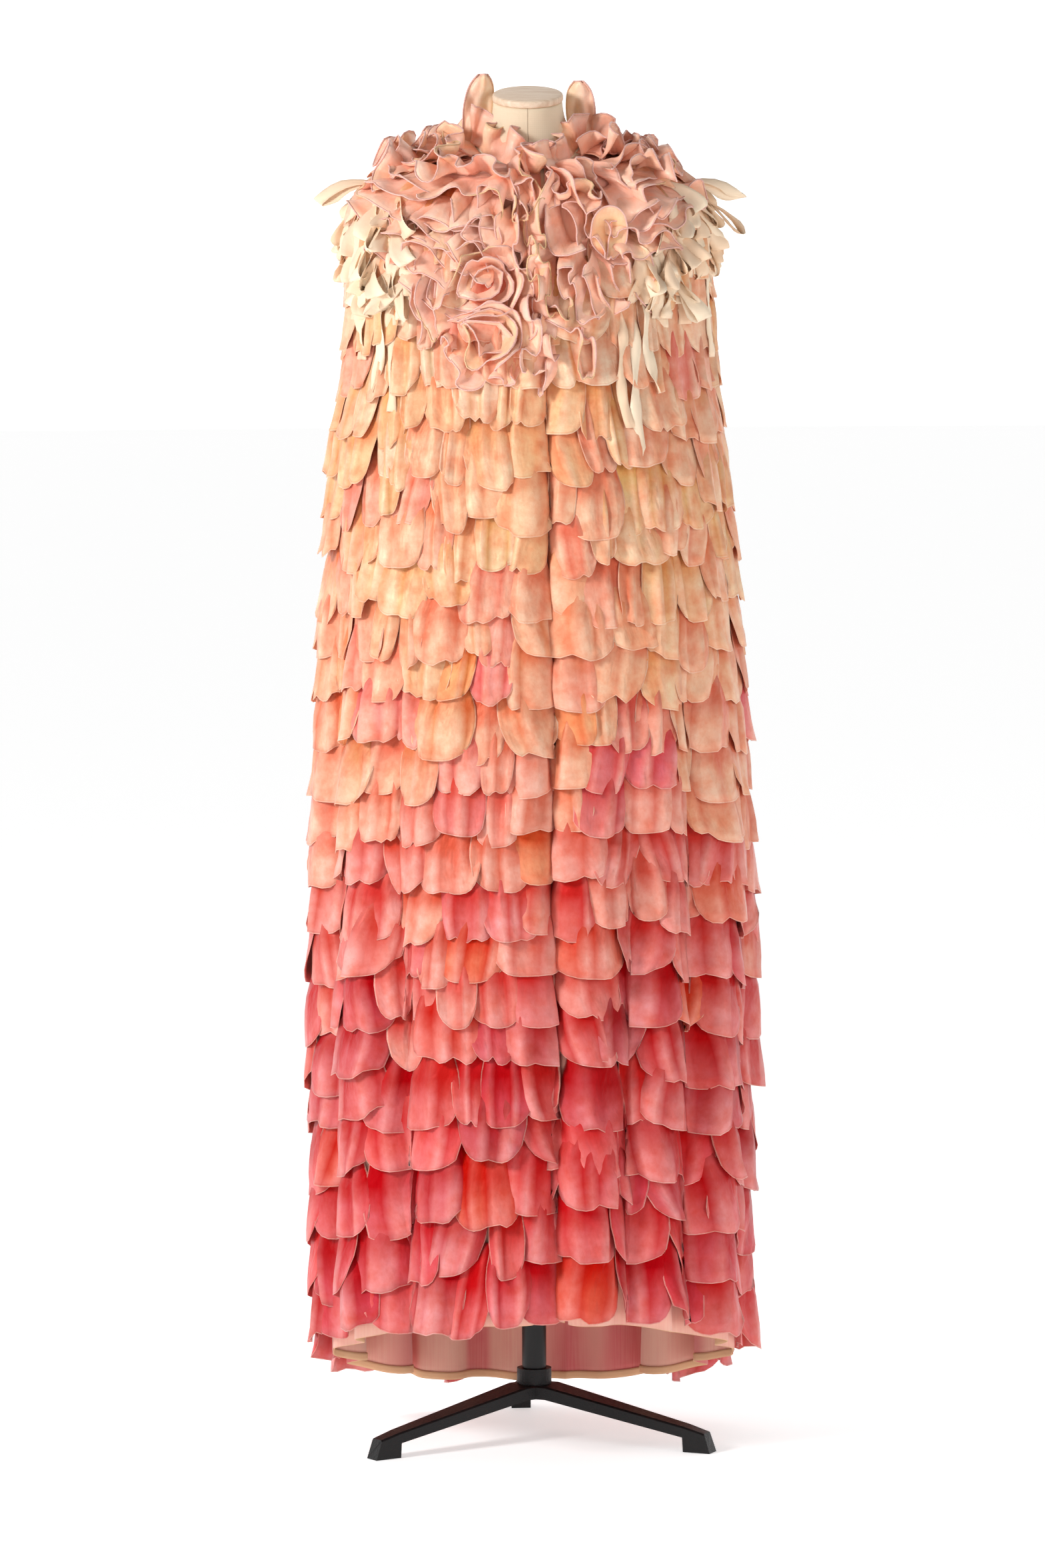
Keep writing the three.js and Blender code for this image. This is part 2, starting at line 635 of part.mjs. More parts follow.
// A rosette: a flounce coiled outwards from its middle, standing on the cape.
for (const rosette of ROSETTES) {
  const normal = clothNormal(rosette.side, rosette.drop);
  const turns = range(ROSETTE.steps + 1).map((i) => {
    const t = i / ROSETTE.steps;
    const angle = Math.sign(rosette.side) * 2 * Math.PI * ROSETTE.turns * t;
    const radius = lerp(ROSETTE.inner, ROSETTE.outer, t);
    return { across: radius * Math.cos(angle), down: radius * Math.sin(angle) };
  });
  const foot = footLine(
    turns.map(({ across, down }) => ({
      side: rosette.side + across / quarterLength(rosette.drop),
      drop: rosette.drop + down,
    })),
    SEAT,
  );
  const middle = skinPoint(rosette.side, rosette.drop);
  const top = foot.map((p) => {
    const outwards = p.clone().sub(middle).multiplyScalar(ROSETTE.spread - 1);
    return p.clone().add(outwards).addScaledVector(normal, ROSETTE.tall);
  });
  add(`rosette_${rosette.name}`, strip([foot, top], RUFFLE.thick), ruffleCloth);
}

for (const lobe of LOBES) {
  const outwards = vec(Math.sign(lobe.side), 0, 0);
  const footWide = lobe.wide * LOBE.foot;
  const rows = range(6).map((r) => {
    const t = r / 5;
    const wide = lobe.wide * lerp(LOBE.foot, 1, Math.sin(Math.PI * Math.min(1, t * 1.18) ** 0.8));
    return range(5).map((c) => {
      const place = c / 2 - 1;
      const foot = skinPoint(lobe.side, lobe.drop + (place * footWide) / 2);
      const cupped = LOBE.cup * (1 - place * place) * Math.sin(Math.PI * t);
      return foot
        .addScaledVector(outwards, (place * (wide - footWide)) / 2 - lobe.inwards * smoothstep(t, 0, 1))
        .add(vec(0, cupped, SEAT + SEAM_GAP + lobe.tall * t));
    });
  });
  add(`collar_lobe_${lobe.name}`, strip(rows, RUFFLE.thick), ruffleCloth);
}

// ---------------------------------------------------------------- shoulder ribbons

const chiffon = finish(COLOURS.ribbon, 0.6);

// The middle line of a ribbon that loops out and back, as a function from 0 to 1.
function loopSpine(ribbon, foot, normal, down) {
  const lift = degToRad(ribbon.lift);
  const forth = down.clone().multiplyScalar(Math.cos(lift)).addScaledVector(normal, Math.sin(lift));
  const rise = normal.clone().multiplyScalar(Math.cos(lift)).addScaledVector(down, -Math.sin(lift));
  return (t) => {
    const along = ribbon.long * Math.sin(Math.PI * t);
    const fat = -ribbon.loop * ribbon.long * Math.sin(2 * Math.PI * t) * Math.sin(Math.PI * t);
    const apart = fat - RIBBON.thick * 0.8 * Math.cos(Math.PI * t);
    return foot.clone().addScaledVector(normal, 2).addScaledVector(forth, along).addScaledVector(rise, apart);
  };
}

for (const ribbon of RIBBONS) {
  const { side, drop } = ribbon;
  const foot = skinPoint(side, drop);
  const normal = clothNormal(side, drop);
  const down = clothPoint(side, drop + 5).sub(clothPoint(side, drop)).normalize();
  down.applyAxisAngle(normal, degToRad(-Math.sign(side) * ribbon.turn));
  const across = normal.clone().cross(down).normalize();
  const looped = ribbon.loop > 0;
  const loopAt = loopSpine(ribbon, foot, normal, down);
  const hangAt = (t) => {
    const below = drop + ribbon.long * t;
    if (t === 0) return foot.clone().addScaledVector(normal, 2 * SEAT);
    return clothPoint(side, below).addScaledVector(clothNormal(side, below), RIBBON.hang);
  };
  const middle = [-1, 1].map((edge) =>
    range(RIBBON.steps + 1).map((i) => {
      const t = i / RIBBON.steps;
      const opened = looped ? 1.5 * Math.sin(Math.PI * t) : 4 * t;
      const gathered = Math.min(1, RIBBON.ends + opened);
      const spine = looped ? loopAt(t) : hangAt(t);
      return spine.addScaledVector(across, (edge * ribbon.wide * gathered) / 2);
    }),
  );
  add(`ribbon_${ribbon.name}`, strip(middle, RIBBON.thick), chiffon);
}

// ---------------------------------------------------------------- dress form

const linen = finish(COLOURS.linen, 0.8);
const formAngles = range(FORM_COLUMNS).map((i) => angleAt((4 * i) / FORM_COLUMNS - 2));

function neckRing(row) {
  const tilt = Math.tan(degToRad(CAP.tilt)) * smoothstep(row.height, NECK_TILT_FROM, 1640);
  return formAngles.map((angle) => {
    const point = ovalPoint(angle, row.half, row.front, row.back);
    point.z = row.height + point.y * tilt;
    point.y -= row.forward;
    return point;
  });
}

const seatedRings = SEATED_DROPS.map((drop) =>
  range(FORM_COLUMNS).map((i) => {
    const side = (4 * i) / FORM_COLUMNS - 2;
    return clothPoint(side, drop).addScaledVector(clothNormal(side, drop), -SEAT);
  }),
);
const torsoRings = TORSO.map((row) =>
  formAngles.map((angle) => ovalPoint(angle, row.half, row.front, row.back).setZ(row.height)),
);
add("form_torso", loft([...torsoRings, ...seatedRings, ...NECK.map(neckRing)]), linen);

// The neck cap: a thin round board with a rounded edge, tilted forwards.
const capOutline = [
  [0, 0],
  [CAP.half - 1.5, 0],
  [CAP.half, 2],
  [CAP.half, CAP.thick - CAP.round],
  [CAP.half - 1.2, CAP.thick - 1],
  [CAP.half - CAP.round, CAP.thick],
  [0, CAP.thick + 0.8],
].map(([x, y]) => new THREE.Vector2(x, y));
const capBoard = new THREE.LatheGeometry(capOutline, 32);
capBoard.rotateX(Math.PI / 2);
capBoard.scale(1, CAP.deep / CAP.half, 1);
capBoard.translate(0, 0, -CAP.thick);
const cap = add("form_neck_cap", capBoard, finish(COLOURS.cap, 0.6));
cap.position.set(0, -CAP.forward, CAP.height);
cap.rotation.x = degToRad(CAP.tilt);

// ---------------------------------------------------------------- stand

const iron = finish(COLOURS.iron, 0.45, 0.5);
const poleTop = TORSO[0].height - SEAM_GAP;
const pole = new THREE.CylinderGeometry(POLE.radius, POLE.radius, poleTop - POLE.bottom, 32);
pole.rotateX(Math.PI / 2);
pole.translate(0, 0, (poleTop + POLE.bottom) / 2);
add("stand_pole", pole, iron);

// A leg from the hub's middle to the end of its foot, as upright sections across its length.
function legGeometry(angle) {
  const footStart = LEG.reach - LEG.foot;
  const along = (r) => THREE.MathUtils.clamp((r - LEG.flat) / (LEG.reach - LEG.flat), 0, 1);
  const section = (r, bottom, topShift = 0) => {
    const wide = lerp(LEG.hubWide, LEG.footWide, along(r)) / 2;
    const top = lerp(LEG.hubTop, LEG.footTop, along(r));
    const low = bottom ?? top - lerp(LEG.hubThick, LEG.footThick, along(r));
    return [
      vec(r, -wide, low),
      vec(r, wide, low),
      vec(r - topShift, wide, top - LEG.bevel),
      vec(r - topShift, wide - LEG.bevel, top),
      vec(r - topShift, LEG.bevel - wide, top),
      vec(r - topShift, -wide, top - LEG.bevel),
    ];
  };
  const made = loft([
    section(0),
    section(LEG.flat),
    section(footStart),
    section(footStart + 1, 0),
    section(LEG.reach, 0, LEG.slant),
  ]);
  made.rotateZ(degToRad(angle - 90));
  return made;
}

const wasm = await Module();
wasm.setup();

function solidOf(geometry) {
  const bare = geometry.index ? geometry.toNonIndexed() : geometry.clone();
  bare.deleteAttribute("normal");
  bare.deleteAttribute("uv");
  const merged = mergeVertices(bare, 1e-3);
  return new wasm.Manifold(
    new wasm.Mesh({
      numProp: 3,
      vertProperties: new Float32Array(merged.attributes.position.array),
      triVerts: new Uint32Array(merged.index.array),
    }),
  );
}

function geometryOf(solid) {
  const mesh = solid.getMesh();
  const made = new THREE.BufferGeometry();
  made.setAttribute("position", new THREE.BufferAttribute(mesh.vertProperties, 3));
  made.setIndex(new THREE.BufferAttribute(mesh.triVerts, 1));
  made.computeVertexNormals();
  return made;
}

// A closed round post standing on z = bottom.
function post(radius, bottom, top) {
  const made = new THREE.CylinderGeometry(radius, radius, top - bottom, 32);
  made.rotateX(Math.PI / 2);
  made.translate(0, 0, (bottom + top) / 2);
  return solidOf(made);
}

const hubBottom = LEG.hubTop - LEG.hubThick;
const casting = LEG_ANGLES.map((angle) => solidOf(legGeometry(angle)))
  .reduce((whole, leg) => whole.add(leg), post(HUB.radius, hubBottom, HUB.top))
  .subtract(post(POLE.radius + HUB.boreGap, POLE.bottom - SEAM_GAP, HUB.top + 1));
add("stand_tripod", geometryOf(casting), iron);

// ---------------------------------------------------------------- the origin

// The origin is on the floor, under the middle of the whole object's outline.
const part = new THREE.Group();
part.add(garment);
const outline = new THREE.Box3().setFromObject(garment, true);
const centre = outline.getCenter(vec(0, 0, 0));
garment.position.set(-centre.x, -centre.y, 0);

export default part;
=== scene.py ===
import functools
import math
import random

import bmesh
import bpy
from bpy.props import FloatProperty, FloatVectorProperty, IntProperty, PointerProperty
from bpy.types import Operator, Panel, PropertyGroup
from mathutils import Matrix, Quaternion, Vector, noise


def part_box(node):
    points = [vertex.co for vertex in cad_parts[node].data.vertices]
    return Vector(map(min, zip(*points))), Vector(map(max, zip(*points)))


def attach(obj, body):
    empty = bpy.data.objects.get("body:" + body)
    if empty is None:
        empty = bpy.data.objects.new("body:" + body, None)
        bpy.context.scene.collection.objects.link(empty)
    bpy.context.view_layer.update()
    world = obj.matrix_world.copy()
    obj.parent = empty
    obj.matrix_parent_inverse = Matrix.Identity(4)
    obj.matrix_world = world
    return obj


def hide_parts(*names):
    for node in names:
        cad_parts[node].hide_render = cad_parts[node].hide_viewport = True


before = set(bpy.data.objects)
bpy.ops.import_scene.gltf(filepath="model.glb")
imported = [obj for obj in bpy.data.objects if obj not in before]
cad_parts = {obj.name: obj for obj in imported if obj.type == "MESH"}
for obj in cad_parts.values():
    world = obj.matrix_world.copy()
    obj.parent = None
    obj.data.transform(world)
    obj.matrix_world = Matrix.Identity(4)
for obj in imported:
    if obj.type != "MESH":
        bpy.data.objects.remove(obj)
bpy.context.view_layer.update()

bl_info = {
    "name": "Petal cape on a dress form",
    "version": (1, 0, 0),
    "blender": (4, 5, 0),
    "location": "View3D > Sidebar > Petal cape",
    "description": "Dresses the cape's solids with silk petals, ruffles, ribbons, a canvas form and a cast stand",
    "category": "Object",
}

# ---------------------------------------------------------------- sizes, in millimetres

MM = 0.001
AXIS = sum(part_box("stand_pole"), Vector()) / 2  # the pole's middle, which the cape hangs round

# The inside of the cape's cloth: how far down it, then a height, a half width, and a depth in front of
# and behind the pole.
CLOTH = [
    (0, 1592, 62, 60, 58),
    (40, 1581, 101, 76, 72),
    (80, 1569, 140, 90, 86),
    (120, 1550, 176, 103, 100),
    (160, 1521, 202, 115, 113),
    (205, 1478, 209, 127, 126),
    (260, 1423, 210, 141, 139),
    (340, 1343, 213, 155, 150),
    (450, 1233, 227, 167, 158),
    (600, 1084, 239, 179, 170),
    (800, 885, 252, 192, 186),
    (1000, 686, 262, 202, 200),
    (1200, 486, 266, 208, 212),
    (1400, 286, 264, 212, 222),
    (1580, 106, 264, 214, 228),
]
HEM = 1580
HEM_SHIFT = (1, 69, 600)  # all round, the swing from back to front, and where it starts
NECK_DIP = (24, 120)
OPENING = ((0, 14), (340, 20), (HEM, 38))  # how far to the wearer's left the fronts meet
OPENING_GAP = (4, 8)

# Long soft troughs: side, width, depth, where each starts. Side is 0 at the centre front, 1 at the left
# side seam, 2 at the centre back, and negative on the wearer's right.
FLUTES = [
    (0.07, 0.045, 26, 40),
    (-0.46, 0.085, 34, 640),
    (-0.8, 0.08, 34, 360),
    (0.34, 0.075, 30, 620),
    (0.6, 0.085, 38, 480),
    (0.88, 0.07, 26, 640),
    (1.16, 0.09, 32, 640),
    (1.43, 0.08, 38, 420),
    (1.72, 0.09, 34, 560),
    (-1.12, 0.08, 30, 560),
    (-1.38, 0.09, 38, 460),
    (-1.66, 0.08, 34, 620),
]

# How far down the collar reaches round the neck: side and drop.
REACH = [(0, 312), (0.2, 306), (0.3, 276), (0.42, 222), (0.56, 166), (0.76, 112), (1.0, 90), (1.5, 84), (2.0, 82)]

PANELS = ("left_front", "left_back", "right_back", "right_front")
TAPE_WIDE = 9
THICK = {"ground": 0.4, "tape": 0.8, "petal": 0.5, "ruffle": 0.9, "ribbon": 0.35}


# ---------------------------------------------------------------- small helpers


def linear(code):
    """An sRGB hex colour as the linear numbers that shaders use."""
    parts = [int(code[i : i + 2], 16) / 255 for i in (0, 2, 4)]
    return tuple(p / 12.92 if p <= 0.04045 else ((p + 0.055) / 1.055) ** 2.4 for p in parts)


def lerp(a, b, t):
    return a + (b - a) * t


def clamp(x, low=0.0, high=1.0):
    return max(low, min(high, x))


def smooth(x, low=0.0, high=1.0):
    t = clamp((x - low) / (high - low))
    return t * t * (3 - 2 * t)


def mix(a, b, t):
    return tuple(lerp(x, y, t) for x, y in zip(a, b))


def read(rows, column, at):
    """A table's column read at a point of its first column, on a smooth curve that never overshoots."""
    last = len(rows) - 1
    i = 0
    while i < last - 1 and at > rows[i + 1][0]:
        i += 1

    def slope(k):
        if k < 0 or k >= last:
            return None
        return (rows[k + 1][column] - rows[k][column]) / (rows[k + 1][0] - rows[k][0])

    def tangent(k):
        before, after = slope(k - 1), slope(k)
        if before is None or after is None:
            return after if before is None else before
        return 0 if before * after <= 0 else 2 * before * after / (before + after)

    span = rows[i + 1][0] - rows[i][0]
    t = clamp((at - rows[i][0]) / span)
    return (
        (2 * t**3 - 3 * t**2 + 1) * rows[i][column]
        + (t**3 - 2 * t**2 + t) * span * tangent(i)
        + (3 * t**2 - 2 * t**3) * rows[i + 1][column]
        + (t**3 - t**2) * span * tangent(i + 1)
    )


def wander(at):
    """A smooth random vector for a place, the same in every run."""
    return Vector(noise.noise(at + Vector((shift, 0.7 * shift, 0))) for shift in (0.0, 31.4, 67.9))


# ---------------------------------------------------------------- the cloth's surface

OVAL_DEPTH = 0.76
OVAL_STEPS = 90


@functools.lru_cache(maxsize=None)
def oval_lengths():
    """Lengths round a quarter of the reference oval, one for each step of its angle."""
    lengths = [0.0]
    for i in range(OVAL_STEPS):
        angle = (i + 0.5) / OVAL_STEPS * math.pi / 2
        lengths.append(lengths[i] + math.hypot(math.cos(angle), OVAL_DEPTH * math.sin(angle)))
    return lengths


@functools.lru_cache(maxsize=None)
def quarter_angle(thousandths):
    """The angle from the front at a share of a quarter, in thousandths."""
    lengths = oval_lengths()
    target = thousandths / 1000 * lengths[-1]
    i = 0
    while i < OVAL_STEPS - 1 and lengths[i + 1] < target:
        i += 1
    part = (target - lengths[i]) / (lengths[i + 1] - lengths[i])
    return (i + part) / OVAL_STEPS * math.pi / 2


def angle_at(side):
    size = min(abs(side), 2.0)
    share = 1000 * (size if size <= 1 else 2 - size)
    low = int(share)
    angle = lerp(quarter_angle(low), quarter_angle(min(low + 1, 1000)), share - low)
    return math.copysign(angle if size <= 1 else math.pi - angle, side)


@functools.lru_cache(maxsize=None)
def section(drop):
    """The height, half width, front depth and back depth of the cloth at a whole drop."""
    return tuple(read(CLOTH, column, drop) for column in (1, 2, 3, 4))


def section_at(drop):
    drop = clamp(drop, 0, HEM)
    low = int(drop)
    return mix(section(low), section(min(low + 1, HEM)), drop - low)


def cloth_point(side, drop):
    """A point of the inside of the cloth, in metres. Sides past 2 go on round from the centre back."""
    side = side - 4 if side > 2 else side
    angle = angle_at(side)
    height, half, front, back = section_at(drop)
    facing = math.cos(angle)
    x = half * math.sin(angle)
    y = -facing * (front if facing > 0 else back)
    depth = 0
    for at, width, deep, start in FLUTES:
        away = (side - at) / width
        if abs(away) < 3:
            depth += deep * math.exp(-away * away) * smooth(drop, start, start + 750)
    inwards = 1 - depth / math.hypot(x, y)
    z = height + (HEM_SHIFT[0] + HEM_SHIFT[1] * facing) * smooth(drop, HEM_SHIFT[2], HEM)
    z -= NECK_DIP[0] * max(0, facing) * (1 - smooth(drop, 0, NECK_DIP[1]))
    z -= max(0, drop - HEM) + min(0, drop)
    return Vector((AXIS.x + x * inwards * MM, AXIS.y + y * inwards * MM, z * MM))


def cloth_frame(side, drop):
    """A point of the cloth, its normal, and the directions round it and down it."""
    high, low = max(drop - 3, 0), min(drop + 3, HEM)
    along = (cloth_point(side + 0.004, drop) - cloth_point(side - 0.004, drop)).normalized()
    down = (cloth_point(side, low) - cloth_point(side, high)).normalized()
    return cloth_point(side, drop), down.cross(along).normalized(), along, down


def quarter_length(drop):
    height, half, front, back = section_at(drop)
    return math.pi / 2 * math.sqrt((half * half + front * front) / 2)


def opening_side(drop):
    (d0, x0), (d1, x1), (d2, x2) = OPENING
    x = lerp(x0, x1, drop / d1) if drop < d1 else lerp(x1, x2, (drop - d1) / (d2 - d1))
    return x / quarter_length(drop)


def opening_gap(drop):
    return lerp(*OPENING_GAP, drop / HEM) / 2 / quarter_length(drop)


def hem_fold(lap, drop):
    """How far the hem of the ground cloth is drawn in, in soft folds of its own."""
    wave = math.sin(17 * lap + 2.2 * math.sin(5 * lap)) + 0.6 * math.sin(31 * lap + 1)
    deep = 3.6 + 5.4 * smooth(1 - abs(lap - 2) / 2, 0.35, 0.7)
    return deep * (1.6 + wave) * smooth(drop, 1180, HEM)


def reach_at(side):
    return read(REACH, 1, abs(side))


def spot(x, height):
    """The side and drop of the point on the front of the cloth at an x and a height."""
    side, drop = 0.0, 100.0
    for _ in range(5):
        low, high = 0.0, 700.0
        for _ in range(20):
            drop = (low + high) / 2
            low, high = (drop, high) if cloth_point(side, drop).z > height * MM else (low, drop)
        near, far = -1.0, 1.0
        for _ in range(18):
            side = (near + far) / 2
            near, far = (side, far) if cloth_point(side, drop).x - AXIS.x < x * MM else (near, side)
    return side, drop


# ---------------------------------------------------------------- meshes and nodes


def new_piece(name, bm, *materials):
    """Turns a bmesh into a smooth piece that rides on the part's one body."""
    mesh = bpy.data.meshes.new(name)
    for face in bm.faces:
        face.smooth = True
    bm.to_mesh(mesh)
    bm.free()
    for material in materials:
        mesh.materials.append(material)
    piece = bpy.data.objects.new(name, mesh)
    bpy.context.collection.objects.link(piece)
    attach(piece, "root")
    return piece


def thicken(piece, thick, offset=-1.0):
    wall = piece.modifiers.new("cloth thickness", "SOLIDIFY")
    wall.thickness = thick * MM
    wall.offset = offset
    return piece


def turned(outline, steps):
    """A bmesh of an outline of (radius, height) turned round the Z axis."""
    bm = bmesh.new()
    verts = [bm.verts.new((x, 0, z)) for x, z in outline]
    edges = [bm.edges.new(pair) for pair in zip(verts, verts[1:])]
    bmesh.ops.spin(
        bm,
        geom=verts + edges,
        cent=(0, 0, 0),
        axis=(0, 0, 1),
        angle=2 * math.pi,
        steps=steps,
        use_merge=True,
        use_duplicate=False,
    )
    bmesh.ops.remove_doubles(bm, verts=bm.verts[:], dist=1e-6)
    bmesh.ops.recalc_face_normals(bm, faces=bm.faces[:])
    return bm


class Cloth:
    """A bmesh of cloth patches whose points carry a dye and how far they lie from the cut edges. On the petals and
    near the flounces' feet the dye also holds painted shade, and on the petals painted highlights.
    """

    def __init__(self):
        self.bm = bmesh.new()
        self.dye = self.bm.verts.layers.float_color.new("dye")
        self.cut = self.bm.verts.layers.float_color.new("cut")

    def patch(self, columns, rows, place):
        """Adds a grid. place(u, v) gives a point, a dye and its distances; u runs from -1 to 1 across
        and v from 0 at the top to 1 at the bottom."""
        made = bmesh.ops.create_grid(self.bm, x_segments=columns, y_segments=rows, size=0.5)
        for vert in made["verts"]:
            point, dye, cut = place(2 * vert.co.x, 0.5 - vert.co.y)
            vert.co = point
            vert[self.dye] = (*dye[:3], 1.0)
            vert[self.cut] = cut


def node(tree, kind, inputs=None, **settings):
    """Adds a node. Inputs are values or other nodes' sockets, by name or number."""
    made = tree.nodes.new(kind)
    for name, value in settings.items():
        setattr(made, name, value)
    for name, value in (inputs or {}).items():
        socket = made.inputs[name]
        if isinstance(value, bpy.types.NodeSocket):
            tree.links.new(value, socket)
        else:
            socket.default_value = value
    return made


def new_material(name, shader):
    """A material with a Principled shader whose sockets are set directly."""
    material = bpy.data.materials.new(name)
    material.use_nodes = True
    tree = material.node_tree
    tree.nodes.clear()
    principled = node(tree, "ShaderNodeBsdfPrincipled", shader)
    node(tree, "ShaderNodeOutputMaterial", {"Surface": principled.outputs[0]})
    return material, tree, principled


# ---------------------------------------------------------------- materials

GLOSS = "Specular IOR Level"


def paint(code):
    return (*linear(code), 1.0)


def dyed(tree):
    return node(tree, "ShaderNodeAttribute", attribute_name="dye").outputs["Color"]


def object_place(tree):
    return node(tree, "ShaderNodeTexCoord").outputs["Object"]


def mapping(tree, at, **inputs):
    return node(tree, "ShaderNodeMapping", {"Vector": at, **inputs}).outputs[0]


def cloudy(tree, at, scale, detail, rough=0.5):
    """The value of a noise texture."""
    inputs = {"Vector": at, "Scale": scale, "Detail": detail, "Roughness": rough}
    return node(tree, "ShaderNodeTexNoise", inputs).outputs["Fac"]


def ribbed(tree, at, scale, way, distortion=0.0):
    """The value of a wave texture, for woven threads."""
    inputs = {"Vector": at, "Scale": scale, "Distortion": distortion}
    return node(tree, "ShaderNodeTexWave", inputs, bands_direction=way).outputs["Fac"]


def ramp(tree, value, low, high, start=0.0, end=1.0):
    """A value taken from one span to another and held at both ends."""
    inputs = {"Value": value, "From Min": low, "From Max": high, "To Min": start, "To Max": end}
    return node(tree, "ShaderNodeMapRange", inputs).outputs[0]


def blend(tree, share, a, b, how="MIX"):
    inputs = {"Factor": share, "A": a, "B": b}
    return node(tree, "ShaderNodeMix", inputs, data_type="RGBA", blend_type=how).outputs["Result"]


def maths(tree, how, *values):
    return node(tree, "ShaderNodeMath", dict(enumerate(values)), operation=how).outputs[0]


def bump(tree, height, strength, distance, under=None, **settings):
    """A normal raised by a height, over another bump's where one is given."""
    inputs = {"Strength": strength, "Distance": distance, "Height": height}
    if under is not None:
        inputs["Normal"] = under
    return node(tree, "ShaderNodeBump", inputs, **settings).outputs[0]


def wire(tree, shader, sockets):
    """Links sockets to the shader's inputs, by name."""
    for name, socket in sockets.items():
        tree.links.new(socket, shader.inputs[name])


def dyed_silk(name, fray, stitch_at, edge_colour, cloud_colour):
    """Habotai silk, brush-dyed by hand and cut with a raw edge: a soft satin sheen that follows the
    folds, cloudy dye, a pale frayed edge and a line of small stitches just inside it."""
    material, tree, shader = new_material(
        name, {"Roughness": 0.36, GLOSS: 0.5, "Sheen Weight": 0.06, "Sheen Roughness": 0.35}
    )
    dye = dyed(tree)
    cut = node(tree, "ShaderNodeAttribute", attribute_name="cut")
    left, right, foot = node(tree, "ShaderNodeSeparateColor", {0: cut.outputs["Color"]}).outputs
    seed = cut.outputs["Alpha"]
    seeded = node(tree, "ShaderNodeVectorMath", {0: object_place(tree), 1: seed}, operation="ADD").outputs[0]
    depth = ramp(tree, cloudy(tree, seeded, 42.0, 4.0, 0.6), 0.3, 0.72)
    deeper = blend(tree, 1.0, dye, paint(cloud_colour), "MULTIPLY")
    tinted = blend(tree, depth, dye, deeper)
    # Specks of stronger dye, a millimetre or two across.
    specks = cloudy(tree, seeded, 330.0, 3.0, 0.7)
    flecked = blend(tree, ramp(tree, specks, 0.56, 0.75, 0.0, 0.35), tinted, deeper)
    edge = maths(tree, "MINIMUM", maths(tree, "MINIMUM", left, right), foot)
    frayed = maths(tree, "MULTIPLY_ADD", specks, fray / 60, edge)
    rim = ramp(tree, frayed, fray / 60, fray / 40, 0.3, 0.0)
    rimmed = blend(tree, rim, flecked, paint(edge_colour))
    off_line = maths(tree, "ABSOLUTE", maths(tree, "SUBTRACT", edge, stitch_at / 100))
    sewn = blend(tree, ramp(tree, off_line, 0.002, 0.007, 0.42, 0.0), rimmed, deeper)
    # Long soft folds that run down each piece, a few millimetres apart.
    own = node(tree, "ShaderNodeCombineXYZ", {"X": left, "Y": foot, "Z": seed}).outputs[0]
    folds = bump(tree, cloudy(tree, mapping(tree, own, Scale=(8.0, 2.7, 7.0)), 1.0, 2.0), 0.7, 0.005)
    # Soft crumples 6 to 10 mm across, and slubs in the weave drawn coarser than they are.
    crumples = bump(tree, cloudy(tree, seeded, 120.0, 3.0, 0.55), 0.35, 0.0012, folds)
    slubs = bump(tree, specks, 0.25, 0.0005, crumples)
    wire(tree, shader, {"Base Color": sewn, "Specular Tint": sewn, "Normal": slubs})
    return material


def organza():
    """Silk organza, the sheer plain-woven ground the petals are sewn to: matt, a little grainy, and pale
    where nothing backs it."""
    material, tree, shader = new_material("silk organza", {"Roughness": 0.62, GLOSS: 0.3, "Sheen Weight": 0.2})
    place = object_place(tree)
    # Warp threads run down the cloth: streaks 2 mm wide stand in for them.
    threads = cloudy(tree, mapping(tree, place, Scale=(500.0, 500.0, 12.0)), 1.0, 2.0)
    both = maths(tree, "MULTIPLY", threads, cloudy(tree, place, 14.0, 3.0))
    rosy = blend(tree, ramp(tree, both, 0.15, 0.4, 0.0, 0.6), dyed(tree), paint("EC9C90"))
    wire(tree, shader, {"Base Color": rosy, "Normal": bump(tree, threads, 0.2, 0.0004)})
    return material


def bias_tape():
    """Cotton bias tape folded over the hem: matt ecru with a fine diagonal weave."""
    material, tree, shader = new_material("ecru bias tape", {"Roughness": 0.85, GLOSS: 0.2})
    place = object_place(tree)
    weave = bump(tree, ribbed(tree, place, 500.0, "DIAGONAL", 1.0), 0.3, 0.0003)
    tint = blend(tree, cloudy(tree, place, 30.0, 3.0), paint("F2CDA2"), paint("E9AE86"))
    wire(tree, shader, {"Base Color": tint, "Normal": weave})
    return material


def piping_silk():
    """Silk rolled and stitched along a ruffle's edge: a narrow pinkish-lilac cord, cream where that part
    of the edge is bound with another cloth."""
    material, tree, shader = new_material("rolled silk edge", {"Roughness": 0.5, "Sheen Weight": 0.3})
    twist = cloudy(tree, object_place(tree), 420.0, 2.0)
    # The twist's hollows are painted darker, as painted shade.
    shaded = blend(tree, ramp(tree, twist, 0.42, 0.62, 0.35, 0.0), dyed(tree), paint("C98C80"))
    wire(tree, shader, {"Base Color": shaded, "Normal": bump(tree, twist, 0.5, 0.0008)})
    return material


def chiffon():
    """Silk chiffon ribbon: thin, nearly white cream, faintly crinkled, with a soft sheen."""
    material, tree, shader = new_material(
        "cream chiffon", {"Roughness": 0.6, GLOSS: 0.4, "Sheen Weight": 0.15, "Sheen Roughness": 0.4}
    )
    dye = dyed(tree)
    crinkle = bump(tree, cloudy(tree, object_place(tree), 160.0, 4.0, 0.6), 0.35, 0.001)
    wire(tree, shader, {"Base Color": dye, "Specular Tint": dye, "Normal": crinkle})
    return material


